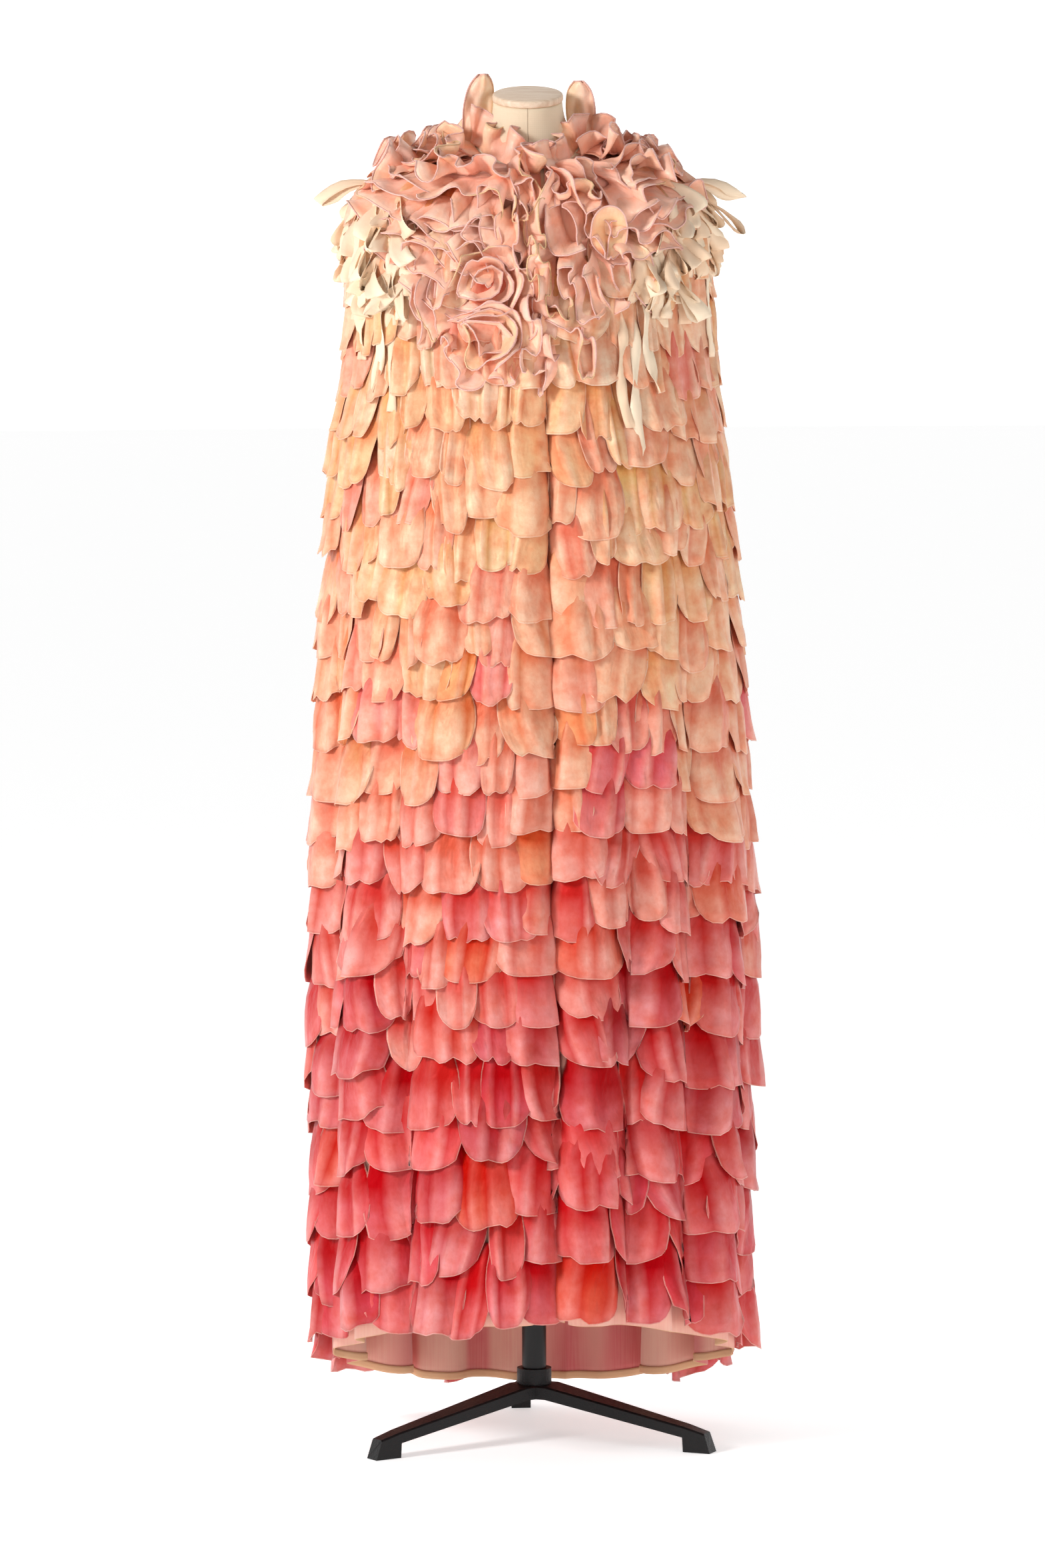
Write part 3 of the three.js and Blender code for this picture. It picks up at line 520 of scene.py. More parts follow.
def canvas():
    """Unbleached cotton canvas drawn tight over the padding: matt ecru, a plain weave of 0.6 mm threads
    that is drawn at 1.2 mm, and the seam down the middle of the neck."""
    material, tree, shader = new_material("ecru canvas", {"Roughness": 0.88, GLOSS: 0.25})
    place = object_place(tree)
    threads = maths(tree, "ADD", ribbed(tree, place, 260.0, "X"), ribbed(tree, place, 260.0, "Z"))
    tone = blend(tree, cloudy(tree, place, 9.0, 4.0), paint("F0DEC4"), paint("E4CCAC"))
    across = node(tree, "ShaderNodeSeparateXYZ", {0: place}).outputs["X"]
    off = maths(tree, "ABSOLUTE", maths(tree, "SUBTRACT", across, AXIS.x))
    seam = ramp(tree, off, 0.0002, 0.0009, 0.55, 0.0)
    sewn = blend(tree, seam, tone, paint("B79E80"))
    dip = bump(tree, seam, 0.8, 0.0012, invert=True)
    wire(tree, shader, {"Base Color": sewn, "Normal": bump(tree, threads, 0.25, 0.0004, dip)})
    return material


def pale_beech():
    """Turned beech with a clear satin varnish: pinkish straw with fine short flecks along the grain."""
    material, tree, shader = new_material("pale beech", {"Roughness": 0.48, GLOSS: 0.45})
    centred = mapping(
        tree,
        object_place(tree),
        Location=(-AXIS.x, -AXIS.y, 0.0),
        Rotation=(0.0, 0.0, 0.5),
        Scale=(30.0, 260.0, 60.0),
    )
    grain = cloudy(tree, centred, 1.0, 6.0, 0.7)
    wood = blend(tree, ramp(tree, grain, 0.4, 0.68, 0.0, 0.8), paint("EDD5BC"), paint("D2AC88"))
    wire(tree, shader, {"Base Color": wood, "Normal": bump(tree, grain, 0.15, 0.0004)})
    return material


def satin_black():
    """Steel tube under satin black paint: near black, with long soft highlights and faint rubbing."""
    material, tree, shader = new_material("satin black paint", {GLOSS: 0.35})
    rub = cloudy(tree, object_place(tree), 60.0, 5.0)
    tone = blend(tree, rub, paint("080708"), paint("151314"))
    wire(tree, shader, {"Base Color": tone, "Roughness": ramp(tree, rub, 0.0, 1.0, 0.26, 0.42)})
    return material


def cast_black():
    """Sand-cast iron under thick black paint: a pebbled skin with grains of about 1.5 mm."""
    material, tree, shader = new_material("black painted casting", {GLOSS: 0.3})
    place = object_place(tree)
    pebble = node(tree, "ShaderNodeTexVoronoi", {"Vector": place, "Scale": 520.0}).outputs["Distance"]
    skin = cloudy(tree, place, 240.0, 5.0)
    tone = blend(tree, skin, paint("080708"), paint("191617"))
    grains = bump(tree, maths(tree, "ADD", pebble, skin), 0.45, 0.0006)
    gloss = ramp(tree, skin, 0.0, 1.0, 0.3, 0.55)
    wire(tree, shader, {"Base Color": tone, "Roughness": gloss, "Normal": grains})
    return material


# ---------------------------------------------------------------- petals

# The dyes at each depth down the cape, with how often each is used.
DYES = [
    (150, [("F0E4CA", 4), ("EFD8B8", 4), ("EDCDA8", 3), ("EEC9B6", 2), ("EBB6A6", 0.8)]),
    (520, [("F0D4AA", 4), ("EDC796", 4), ("EFC8A8", 3), ("ECB79E", 2), ("E99A92", 0.9)]),
    (850, [("EFCFAA", 3), ("EFC0A0", 4), ("EDB09E", 3), ("E88F92", 1.3), ("E2687E", 0.7), ("EBA25E", 0.6)]),
    (1100, [("E9AC98", 3), ("E48F86", 4), ("DE7476", 2.4), ("D6546A", 1.2), ("E4783E", 0.8)]),
    (1330, [("DB6462", 3), ("D2434E", 4), ("C93249", 3), ("B91E3E", 1.4), ("DC5024", 0.8)]),
    (1520, [("E8686A", 3), ("E14A56", 4), ("D6344E", 3), ("C42444", 1.4), ("E4562E", 0.7)]),
]


def pick_dye(drop, chance):
    """A dye for a petal whose tip is at a drop."""
    at = drop + chance.uniform(-90, 90)
    below = [i for i, (level, _) in enumerate(DYES) if level <= at]
    i = below[-1] if below else 0
    if i + 1 < len(DYES):
        share = (at - DYES[i][0]) / (DYES[i + 1][0] - DYES[i][0])
        i += chance.random() < share
    codes, weights = zip(*DYES[i][1])
    return linear(chance.choices(codes, weights)[0])


class Petal:
    """One petal: where it hangs, how it is cut, gathered and folded, and its dye, painted deeper at its top and in its
    fold valleys as shade, and paler on its fold crests and bottom edge as highlights.
    """

    def __init__(self, lap, tip, slot, spacing, layer, lift, chance):
        self.lap = lap  # its middle, in sides round from the left front edge
        self.tip = tip
        self.wide = min(slot * chance.uniform(1.2, 1.5), 84)
        self.long = spacing + chance.uniform(46, 60)
        self.notch = chance.uniform(14, 28)
        self.square = chance.uniform(2.6, 5.0)
        self.slant = chance.gauss(0, 3.5)
        self.layer = layer
        self.lift = lift * chance.uniform(0.75, 1.25)
        self.belly = chance.uniform(0, 3.5)
        self.tilt = math.tan(math.radians(chance.gauss(0, 5.5)))
        self.lean = chance.uniform(-3, 3)
        self.curl = (chance.uniform(-2.5, 4.5), chance.uniform(-2.5, 4.5))
        self.ripple = (chance.uniform(1.0, 3.6), chance.uniform(4.5, 8.5), chance.uniform(0, 6))
        self.folds = self.pick_folds(chance)
        self.seed = chance.uniform(0, 10)
        self.dye = pick_dye(self.tip, chance)
        self.other = mix(self.dye, pick_dye(self.tip, chance), 0.6)
        rich = smooth(tip, 500, 1300)
        # The deeper colour is painted shade. It fills the petal's top, which the row above shades, and its fold
        # valleys. How far down the top's painted shade reaches depends on the tier.
        self.painted_shade_end = lerp(0.66, 0.8, rich)
        # A paler colour: it is mixed into the whole petal as a paler dye, and used again for painted highlights on the
        # fold crests and the bottom edge.
        self.pale_dye_and_highlight = mix(linear("F6D2B2"), linear("F2B4B0"), smooth(tip, 600, 1250))
        green = lerp(0.5, 0.09, rich) * chance.uniform(0.8, 1.3)
        painted_shade_factor = (lerp(0.84, 0.7, rich), green, lerp(0.34, 0.1, rich))
        self.deep = tuple(a * b for a, b in zip(self.dye, painted_shade_factor))
        self.dye = mix(self.dye, self.pale_dye_and_highlight, chance.uniform(0.12, 0.5))
        self.run = chance.choice((-1, 1)) * chance.uniform(0.5, 1.0)
        self.quarter = quarter_length(self.tip)

    def pick_folds(self, chance):
        """Folds from the gathered top to the edge: where across it, half width, height, which side is the
        steep one, and how far it nips the edge up."""
        if self.wide < 50:
            count = 1
        elif self.wide < 72:
            count = chance.choice((1, 2, 2))
        else:
            count = chance.choice((2, 3))
        folds = []
        for i in range(count):
            at = -0.8 + 1.6 * (i + chance.uniform(0.2, 0.8)) / count
            nip = chance.uniform(3, 10) if chance.random() < 0.5 else 0
            half, high = chance.uniform(0.16, 0.28), chance.uniform(5.0, 10.0)
            folds.append((at, half, high, chance.choice((-1, 1)), nip))
        return folds

    def cut_area(self):
        return self.wide * (self.long - 0.3 * self.notch) * MM * MM

    def place(self, u, v):
        u, v = u * (1.25 - 0.25 * u * u), v**0.72
        fold = nip = valley_shade = 0
        for at, half, high, steep, nipped in self.folds:
            x = (u - at) / half
            valley_shade = max(valley_shade, math.exp(-(((x * steep - 0.75) / 0.5) ** 2)))
            fold += high * math.exp(-((x * (2.2 if x * steep > 0 else 0.8)) ** 2))
            nip += nipped * math.exp(-(((x - 0.7 * steep) / 0.8) ** 2))
        wide = self.wide * (0.7 + 0.3 * smooth(v, 0, 0.6)) * (1 - 0.1 * smooth(v, 0.75, 1))
        down = (self.long - self.notch * abs(u) ** self.square + self.slant * u - nip) * v
        across = u * wide / 2 + (down - 0.3 * self.long) * self.tilt
        side = self.curl[0] if u < 0 else self.curl[1]
        rough = noise.noise(Vector((u * 2.1 + self.seed * 9, v * 3.0, self.seed)))
        height = 1.4 + self.layer * (0.3 + 0.7 * v) + self.lift * v**1.3 * (1 - 0.4 * u * u)
        height += fold * smooth(v, 0, 0.5) * (1 - 0.3 * v) + (self.lean * u + 3.6 * rough) * v
        height += self.ripple[0] * math.sin(self.ripple[1] * u + self.ripple[2]) * v * v
        height += self.belly * (1 - u * u) * math.sin(math.pi * v) + side * smooth(abs(u), 0.5, 1) * v**1.5
        drop = self.tip - self.long + down
        point, normal, along, below = cloth_frame(self.lap + across / self.quarter, clamp(drop, 0, HEM))
        point = point + below * max(0, drop - HEM) * MM + normal * max(height, 1.2 + self.layer * 0.3) * MM
        # Painted shade: the deeper colour fills the petal's top, under the row above, and its fold valleys. The fold
        # crests are painted paler as highlights.
        pale = smooth(v, self.painted_shade_end - 0.34, self.painted_shade_end) * 0.75 + 0.25 * smooth(fold, 0, 6)
        pale *= 1 - 0.95 * valley_shade * (1 - 0.35 * v)
        dye = mix(mix(self.deep, self.dye, pale), self.other, smooth(self.run * u, -0.2, 1) * 0.5 * pale)
        # Painted highlight: the fold crests and the bottom edge are mixed towards the paler colour.
        dye = mix(dye, self.pale_dye_and_highlight, 0.46 * smooth(fold, 2.5, 8) * pale + 0.14 * smooth(v, 0.8, 1))
        return point, dye, ((u + 1) * wide / 200, (1 - u) * wide / 200, (1 - v) * self.long / 100, self.seed)


def petal_tiers(cape):
    """Every petal, by the panel that its middle is on."""
    chance = random.Random(7)
    panels = {name: [] for name in PANELS}
    drops = []
    for i in range(cape.tiers):
        t = i / (cape.tiers - 1)
        drops.append(lerp(cape.first_tier, cape.last_tier, t * (0.82 + 0.18 * t)) / MM)
    for i, drop in enumerate(drops):
        spacing = drop - drops[i - 1] if i else drops[1] - drop
        quarter = quarter_length(drop)
        start = opening_side(drop) + opening_gap(drop)
        end = 4 + opening_side(drop) - opening_gap(drop)
        pitch = lerp(cape.petal_wide_top, cape.petal_wide_hem, smooth(drop, 350, 1350)) / MM
        count = max(8, round((end - start) * quarter / pitch))
        shares = [chance.uniform(0.62, 1.45) for _ in range(count)]
        phase = chance.uniform(0, 6.28)
        lap = start
        for number, share in enumerate(shares):
            step = share / sum(shares) * (end - start)
            middle = lap + step / 2
            lap += step
            side = middle - 4 if middle > 2 else middle
            if drop < reach_at(side) + 16:
                continue
            tip = drop + 6 * math.sin(5 * middle + phase) + chance.uniform(-13, 11)
            layer = 2.2 * (number % 2) + chance.uniform(0, 1.4)
            lift = lerp(cape.petal_lift, cape.petal_lift_hem, i / (cape.tiers - 1)) / MM
            panels[PANELS[min(int(middle), 3)]].append(
                Petal(middle, tip, step * quarter, spacing, layer, lift, chance)
            )
    return panels


# ---------------------------------------------------------------- ruffles


class Flounce:
    """A curved-cut strip whose foot is gathered and sewn down along a line of (side, drop), and whose
    longer outer edge stands up and snakes from side to side in loops."""

    def __init__(
        self, route, tall, pitch, swing, lean=0.0, seed=1, taper=(1.0, 1.0), cream=(), bulb=0.16, toward=None
    ):
        self.route = route
        self.toward = toward  # degrees from straight down, to the wearer's left, if it leans one way
        self.tall = tall
        self.swing = swing
        self.lean = math.radians(lean)
        self.taper = taper
        self.cream = cream
        self.bulb = bulb
        self.seed = seed
        self.lengths = self.measure()
        self.waves = max(2, round(self.lengths[-1] / pitch))
        chance = random.Random(seed)
        self.sizes = [chance.uniform(0.6, 1.2) for _ in range(self.waves * 2 + 4)]
        self.shifts = [chance.uniform(-0.13, 0.13) for _ in range(self.waves + 3)]
        self.tones = [chance.random() for _ in range(self.waves + 3)]

    def measure(self):
        """The route's lengths so far, in millimetres, at each of its points."""
        lengths = [0.0]
        for (s0, d0), (s1, d1) in zip(self.route, self.route[1:]):
            step = (cloth_point(s1, d1) - cloth_point(s0, d0)).length / MM
            lengths.append(lengths[-1] + max(step, 1e-3))
        return lengths

    def at(self, t):
        """The side and drop at a share of the route's length, on a smooth line."""
        lengths = self.lengths
        target = clamp(t) * lengths[-1]
        i = 0
        while i < len(lengths) - 2 and lengths[i + 1] < target:
            i += 1
        part = (target - lengths[i]) / (lengths[i + 1] - lengths[i])
        points = self.route
        before, a, b, after = points[max(i - 1, 0)], points[i], points[i + 1], points[min(i + 2, len(points) - 1)]

        def blend(k):
            p0, p1, p2, p3 = before[k], a[k], b[k], after[k]
            return 0.5 * (
                2 * p1
                + (p2 - p0) * part
                + (2 * p0 - 5 * p1 + 4 * p2 - p3) * part**2
                + (3 * p1 - p0 - 3 * p2 + p3) * part**3
            )

        return blend(0), blend(1)

    @functools.lru_cache(maxsize=4096)
    def frame(self, t):
        """On the cloth under a share of the route: the point, the normal, the direction forth along the
        route, and the one that the strip leans in."""
        side, drop = self.at(t)
        point, normal, along, down = cloth_frame(side, clamp(drop, 0, HEM))
        ahead = cloth_point(*self.at(min(t + 0.01, 1))) - cloth_point(*self.at(max(t - 0.01, 0)))
        forth = (ahead - normal * ahead.dot(normal)).normalized()
        if self.toward is None:
            return point, normal, forth, normal.cross(forth).normalized()
        turn = math.radians(self.toward)
        return point, normal, forth, down * math.cos(turn) + along * math.sin(turn)

    def spread(self, values, t):
        at = clamp(t) * (len(values) - 2)
        low = int(at)
        return lerp(values[low], values[low + 1], smooth(at - low))

    def place(self, t, h):
        """A point of the strip, t along it and h up it."""
        point, normal, forth, across = self.frame(t)
        pitch = self.lengths[-1] / self.waves
        phase = 2 * math.pi * (self.waves * t + self.spread(self.shifts, t))
        size = self.spread(self.sizes, t)
        ends = lerp(self.taper[0], self.taper[1], t)
        tall = self.tall * ends * lerp(0.8, 1, size)
        opened = h**1.2
        swing = lerp(1.5, self.swing * size * ends, opened) * math.sin(phase)
        bulb = -self.bulb * pitch * opened * size * math.sin(2 * phase)
        up = tall * (h - 0.12 * h * h)
        rise = normal * math.cos(self.lean) + across * math.sin(self.lean)
        aside = across * math.cos(self.lean) - normal * math.sin(self.lean)
        drift = wander(point * 21 + rise * (h * 1.1) + Vector((self.seed, 0, 0)))
        offset = rise * up + aside * swing + forth * bulb + drift * 19 * opened
        offset.z -= 5 * opened
        low, floor = offset.dot(normal), 3 + 3 * h
        lifted = floor + 0.5 * ((low - floor) + math.hypot(low - floor, 5))
        return point + (offset + normal * (lifted - low)) * MM

    def edge(self, steps):
        return [self.place(i / steps, 1) for i in range(steps + 1)]

    def steps(self):
        return max(self.waves * 14, round(self.lengths[-1] / 5))

    def bound(self, t):
        """1 where the edge is bound in cream, 0 where it is lilac."""
        return max((smooth(t, a - 0.02, a) * (1 - smooth(t, b, b + 0.02)) for a, b in self.cream), default=0.0)


def edged_piece(name, shape, cells, place, rim, collar, silk, piping):
    """A piece of ruffle silk, the rolled edge along its rim, and the area of its middle surface."""
    cloth = Cloth()
    cloth.patch(*cells, place)
    area = sum(face.calc_area() for face in cloth.bm.faces)
    piece = thicken(new_piece(name, cloth.bm, silk), THICK["ruffle"], 0)
    return piece, rolled_edge(f"{name}_edge", shape, rim, collar, piping), area


def flounce_pieces(name, flounce, collar, silk, piping, nodes=()):
    """Builds a flounce and its rolled edge as two pieces."""
    dyes = [tuple(collar.salmon), tuple(collar.pink), tuple(collar.peach)]
    steps = flounce.steps()

    def place(u, v):
        t, h = (u + 1) / 2, 1 - v
        tone = flounce.spread(flounce.tones, t)
        dye = mix(dyes[0], dyes[1], smooth(tone, 0.3, 0.7))
        dye = mix(dye, dyes[2], smooth(tone, 0.72, 0.95) * 0.8)
        # Painted shade: towards its sewn foot the strip is painted a darker orange.
        dye = mix(mix(dye, linear("EE9470"), 0.2), dye, smooth(h, 0.1, 0.8))
        along = 0.5 + t * flounce.lengths[-1] / 100
        return flounce.place(t, h), dye, (along, along, v * flounce.tall / 100, flounce.seed)

    edge = flounce.edge(steps)
    piece, tube, area = edged_piece(name, flounce, (steps, 6), place, edge, collar, silk, piping)
    if nodes:
        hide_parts(*nodes)
    length = sum((b - a).length for a, b in zip(edge, edge[1:]))
    heights = []
    for i in range(12):
        line = [flounce.place((i + 0.5) / 12, h / 8) for h in range(9)]
        heights.append(sum((b - a).length for a, b in zip(line, line[1:])))
    tall = max(heights)
    length = clamp(length, area / tall * 1.02, area / tall * 3)
    return piece


def rolled_edge(name, flounce, points, collar, piping):
    """A thin cord of rolled silk along a flounce's outer edge."""
    line = bpy.data.curves.new(name, "CURVE")
    line.dimensions = "3D"
    line.bevel_depth = collar.roll / 2
    line.bevel_resolution = 1
    line.use_fill_caps = True
    spline = line.splines.new("POLY")
    spline.points.add(len(points) - 1)
    for place, point in zip(spline.points, points):
        place.co = (*point, 1)
    holder = bpy.data.objects.new(name, line)
    bpy.context.collection.objects.link(holder)
    bpy.context.view_layer.update()
    mesh = bpy.data.meshes.new_from_object(holder.evaluated_get(bpy.context.evaluated_depsgraph_get()))
    bpy.data.objects.remove(holder)
    bpy.data.curves.remove(line)
    bm = bmesh.new()
    bm.from_mesh(mesh)
    bpy.data.meshes.remove(mesh)
    dye = bm.verts.layers.float_color.new("dye")
    lilac, cream = tuple(collar.lilac), tuple(collar.cream)
    sides = max(1, round(len(bm.verts) / len(points)))
    for vert in bm.verts:
        t = min(vert.index // sides, len(points) - 1) / (len(points) - 1)
        vert[dye] = (*mix(lilac, cream, flounce.bound(t)), 1.0)
    piece = new_piece(name, bm, piping)
    return piece


# The collar's flounces on the front: name, the line of the foot as x and height, the strip's height, the
# distance between its loops, their swing, the lean across the line, and the parts bound in cream.
FRONT_FLOUNCES = [
    # down the two front edges, with broad slow waves
    ("right_edge", [(-18, 1572), (-14, 1520), (-8, 1460), (-2, 1400), (2, 1336)], 42, 50, 11, 44, ((0.0, 0.95),)),
    ("right_inner", [(-26, 1500), (-18, 1450), (-12, 1390), (-10, 1330)], 38, 54, 12, 26, ()),
    ("left_edge", [(30, 1572), (31, 1520), (34, 1460), (36, 1400), (38, 1326)], 42, 58, 12, -42, ((0.3, 0.7),)),
    # round the neckline, standing up
    ("right_neck", [(-66, 1602), (-46, 1590), (-26, 1578), (-6, 1570)], 56, 56, 11, 62, ()),
    ("right_neck_low", [(-78, 1590), (-54, 1578), (-30, 1566), (-8, 1560), (12, 1554)], 50, 44, 14, 30, ((0.3, 0.5),)),
    ("left_neck", [(18, 1570), (36, 1578), (52, 1590), (68, 1602)], 58, 50, 11, 62, ()),
    ("left_neck_low", [(-4, 1554), (20, 1560), (40, 1566), (60, 1578), (80, 1590)], 50, 44, 14, 30, ()),
    # under the rosettes
    ("right_foot", [(-92, 1366), (-74, 1344), (-48, 1334), (-18, 1338)], 28, 34, 10, -40, ()),
    # across the fronts, over the ends of the folded rows
    ("right_top", [(-104, 1566), (-80, 1552), (-54, 1556), (-28, 1546)], 44, 36, 13, 16, ((0.1, 0.3),)),
    ("left_top", [(16, 1536), (36, 1524), (56, 1530), (78, 1520)], 44, 36, 13, 16, ((0.7, 0.9),)),
]

# Flounces folded to and fro: name, x and height of the middle, length of a pass, passes, the distance
# between them, how far the passes are turned from level, the way they lean (degrees from straight down, to
# the wearer's left), the strip's height, and the parts bound in cream.
MEANDERS = [
    # the wearer's right shoulder and front
    ("right_1", -66, 1576, 84, 6, 14, 10, 10, 46, ((0.3, 0.42),)),
    ("right_2", -122, 1552, 78, 6, 14, 20, -30, 44, ((0.62, 0.7),)),
    ("right_3", -74, 1526, 88, 4, 15, -6, 0, 46, ((0.15, 0.3),)),
    ("right_4", -136, 1500, 58, 4, 14, 28, -30, 40, ((0.5, 0.7),)),
    ("right_5", -36, 1490, 58, 4, 14, 62, -30, 46, ()),
    ("right_6", -102, 1470, 62, 4, 15, 36, -20, 44, ()),
    ("right_7", -100, 1410, 80, 3, 13, 78, -50, 36, ((0.3, 0.5),)),
    ("right_8", -34, 1538, 62, 4, 15, 74, -24, 46, ((0.2, 0.4),)),
    ("right_9", 2, 1548, 40, 3, 14, 84, 20, 40, ()),
    # the wearer's left shoulder and front
    ("left_8", 52, 1556, 60, 4, 15, 70, 30, 46, ()),
    ("left_1", 68, 1576, 84, 6, 14, -10, -10, 46, ()),
    ("left_2", 122, 1552, 78, 6, 14, -18, 30, 44, ((0.4, 0.5),)),
    ("left_3", 112, 1512, 70, 4, 15, -10, 20, 44, ()),
    ("left_4", 62, 1510, 72, 5, 15, 82, -50, 46, ()),
    ("left_5", 98, 1446, 64, 4, 16, 70, 40, 42, ()),
    ("left_6", 54, 1430, 74, 5, 15, 76, -40, 46, ((0.55, 0.65),)),
    ("left_7", 52, 1362, 68, 4, 14, 84, -30, 38, ((0.2, 0.4),)),
]
RING_SHARES = (0.05, 0.26, 0.48, 0.7, 0.9)

# The rosettes: x, height, radius, turns, and the solid each stands for.
ROSETTES = [
    (-50, 1428, 36, 3.1, "rosette_upper"),
    (-50, 1368, 26, 2.6, "rosette_lower"),
]


def front_route(points):
    """A line of (side, drop) on the front from points given as x and height."""
    return [spot(x, height) for x, height in points]


def ring_route(hand, share):
    """A line round the shoulder and the back of the neck at a share of the collar's reach."""
    route = []
    for i in range(24):
        side = lerp(0.62, 1.98, i / 23)
        route.append((hand * side, lerp(14, reach_at(side) - 4, share)))
    return route


class Meander(Flounce):
    """A flounce whose foot goes to and fro, pass beside pass, with every pass leaning the same way."""

    def __init__(self, side, drop, long, passes, spacing, skew, toward, tall, seed, cream=()):
        chance = random.Random(seed)
        turn = math.radians(skew)
        quarter = quarter_length(max(drop, 60))
        route = []
        gaps = [spacing * chance.uniform(0.75, 1.75) for _ in range(passes)]
        for i in range(passes):
            level = sum(gaps[:i]) - sum(gaps[:-1]) / 2
            hand = 1 if i % 2 else -1
            start, end = (hand * long / 2 * chance.uniform(0.72, 1.12) for _ in range(2))
            bow = chance.uniform(-6, 6)
            line = ((start, 0), (start / 3, bow * 0.8), (-end / 3, bow), (-end, 0), (-end - hand * 4, gaps[i] / 2))
            for a, b in line:
                across, below = a * math.cos(turn) - (level + b) * math.sin(turn), a * math.sin(turn)
                below += (level + b) * math.cos(turn)
                route.append((side + across / quarter, max(drop + below, 4)))
        super().__init__(route[:-1], tall, 48, 6, 52, seed=seed, cream=cream, bulb=0.06, toward=toward)


class Rosette(Flounce):
    """A flounce coiled outwards from its middle."""

    def __init__(self, x, height, radius, turns, tall, seed):
        side, drop = spot(x, height)
        quarter = quarter_length(drop)
        route = []
        steps = round(turns * 12)
        for i in range(steps + 1):
            t = i / steps
            angle = 2 * math.pi * turns * t + seed
            r = lerp(1.5, radius, t**1.05)
            route.append((side + r * math.cos(angle) / quarter, drop + r * math.sin(angle)))
        super().__init__(route, tall, 46, 4.5, 34, seed=seed, taper=(1.1, 0.9), bulb=0.08, cream=((0.5, 0.6),))


ROUND_PETAL = (90, 1482, 48, 60)  # x, height, width and length of the one cream petal in the collar


class RoundPetal:
    """A round, slightly cupped petal that lies on the flounces."""

    def __init__(self, x, height, wide, tall):
        self.wide, self.tall = wide, tall
        point, normal, along, down = cloth_frame(*spot(x, height))
        tip = math.radians(14)
        self.normal = (normal * math.cos(tip) + down * math.sin(tip)).normalized()
        self.up = (self.normal.cross(along)).normalized()
        self.up = self.up if self.up.z > 0 else -self.up
        self.along = along
        self.middle = point + normal * 16 * MM

    def bound(self, t):
        return 0.0

    def place(self, u, v):
        """A point, with u and v from -1 to 1 on a square that is drawn out to an oval."""
        x, y = u * math.sqrt(1 - v * v / 2), v * math.sqrt(1 - u * u / 2)
        away = math.hypot(x, y)
        spoke = math.atan2(x, y + 0.9)
        cup = (11 + 5 * math.sin(2 * spoke + 1.2)) * away**2 + 1.2 * math.sin(7 * spoke) * away
        cup += 4 * noise.noise(Vector((x * 1.6, y * 1.6, 6)))
        uneven = 1 + 0.07 * math.sin(3 * spoke + 2)
        flat = (self.along * x * self.wide / 2 + self.up * y * self.tall / 2) * uneven
        return self.middle + (flat + self.normal * cup) * MM

    def rim(self, t):
        angle = 2 * math.pi * t
        size = max(abs(math.cos(angle)), abs(math.sin(angle)))
        return self.place(math.cos(angle) / size, math.sin(angle) / size)


# The two lobes that stand beside the neck: name, side, drop, height, width, and how far they lean inwards.
EARS = [
    ("left", 1.15, 6, 76, 42, 4),
    ("right", -1.12, 3, 84, 42, 10),
]


class Ear:
    """A rounded lobe that stands up beside the neck, folded lengthwise like a leaf."""

    def __init__(self, side, drop, tall, wide, inwards):
        self.tall, self.wide, self.inwards = tall, wide, inwards
        point, normal, along, down = cloth_frame(side, drop)
        self.foot = point + normal * 3 * MM
        self.inward = Vector((-1 if side > 0 else 1, 0, 0))
        self.front = Vector((0, -1, 0))

    def cut_area(self):
        return self.wide * 1.35 * self.tall * 0.8 * MM * MM

    def bound(self, t):
        return 1.0 - smooth(t, 0.3, 0.4)

    def place(self, u, v):
        """A point, u across it from -1 to 1 and v up it from 0 to 1."""
        half = self.wide / 2 * (0.8 + 0.2 * smooth(v, 0, 0.6)) * math.sqrt(max(0.12, 1 - v**7))
        lean = self.inwards * v**1.6
        cup = 8 * u * (1 - 0.6 * v) - 4 * math.sin(math.pi * v) + 2.6 * math.sin(4 * u + 2 * v) * (1 - 0.4 * v)
        rough = noise.noise(Vector((u * 1.6, v * 3.4, self.tall))) * 9
        across = u * half * (1 - 0.12 * v)
        rise = self.tall * v
        offset = self.inward * (lean - across * 0.9) + self.front * (cup + rough) + Vector((0, 0, rise))
        return self.foot + offset * MM


# ---------------------------------------------------------------- ribbons


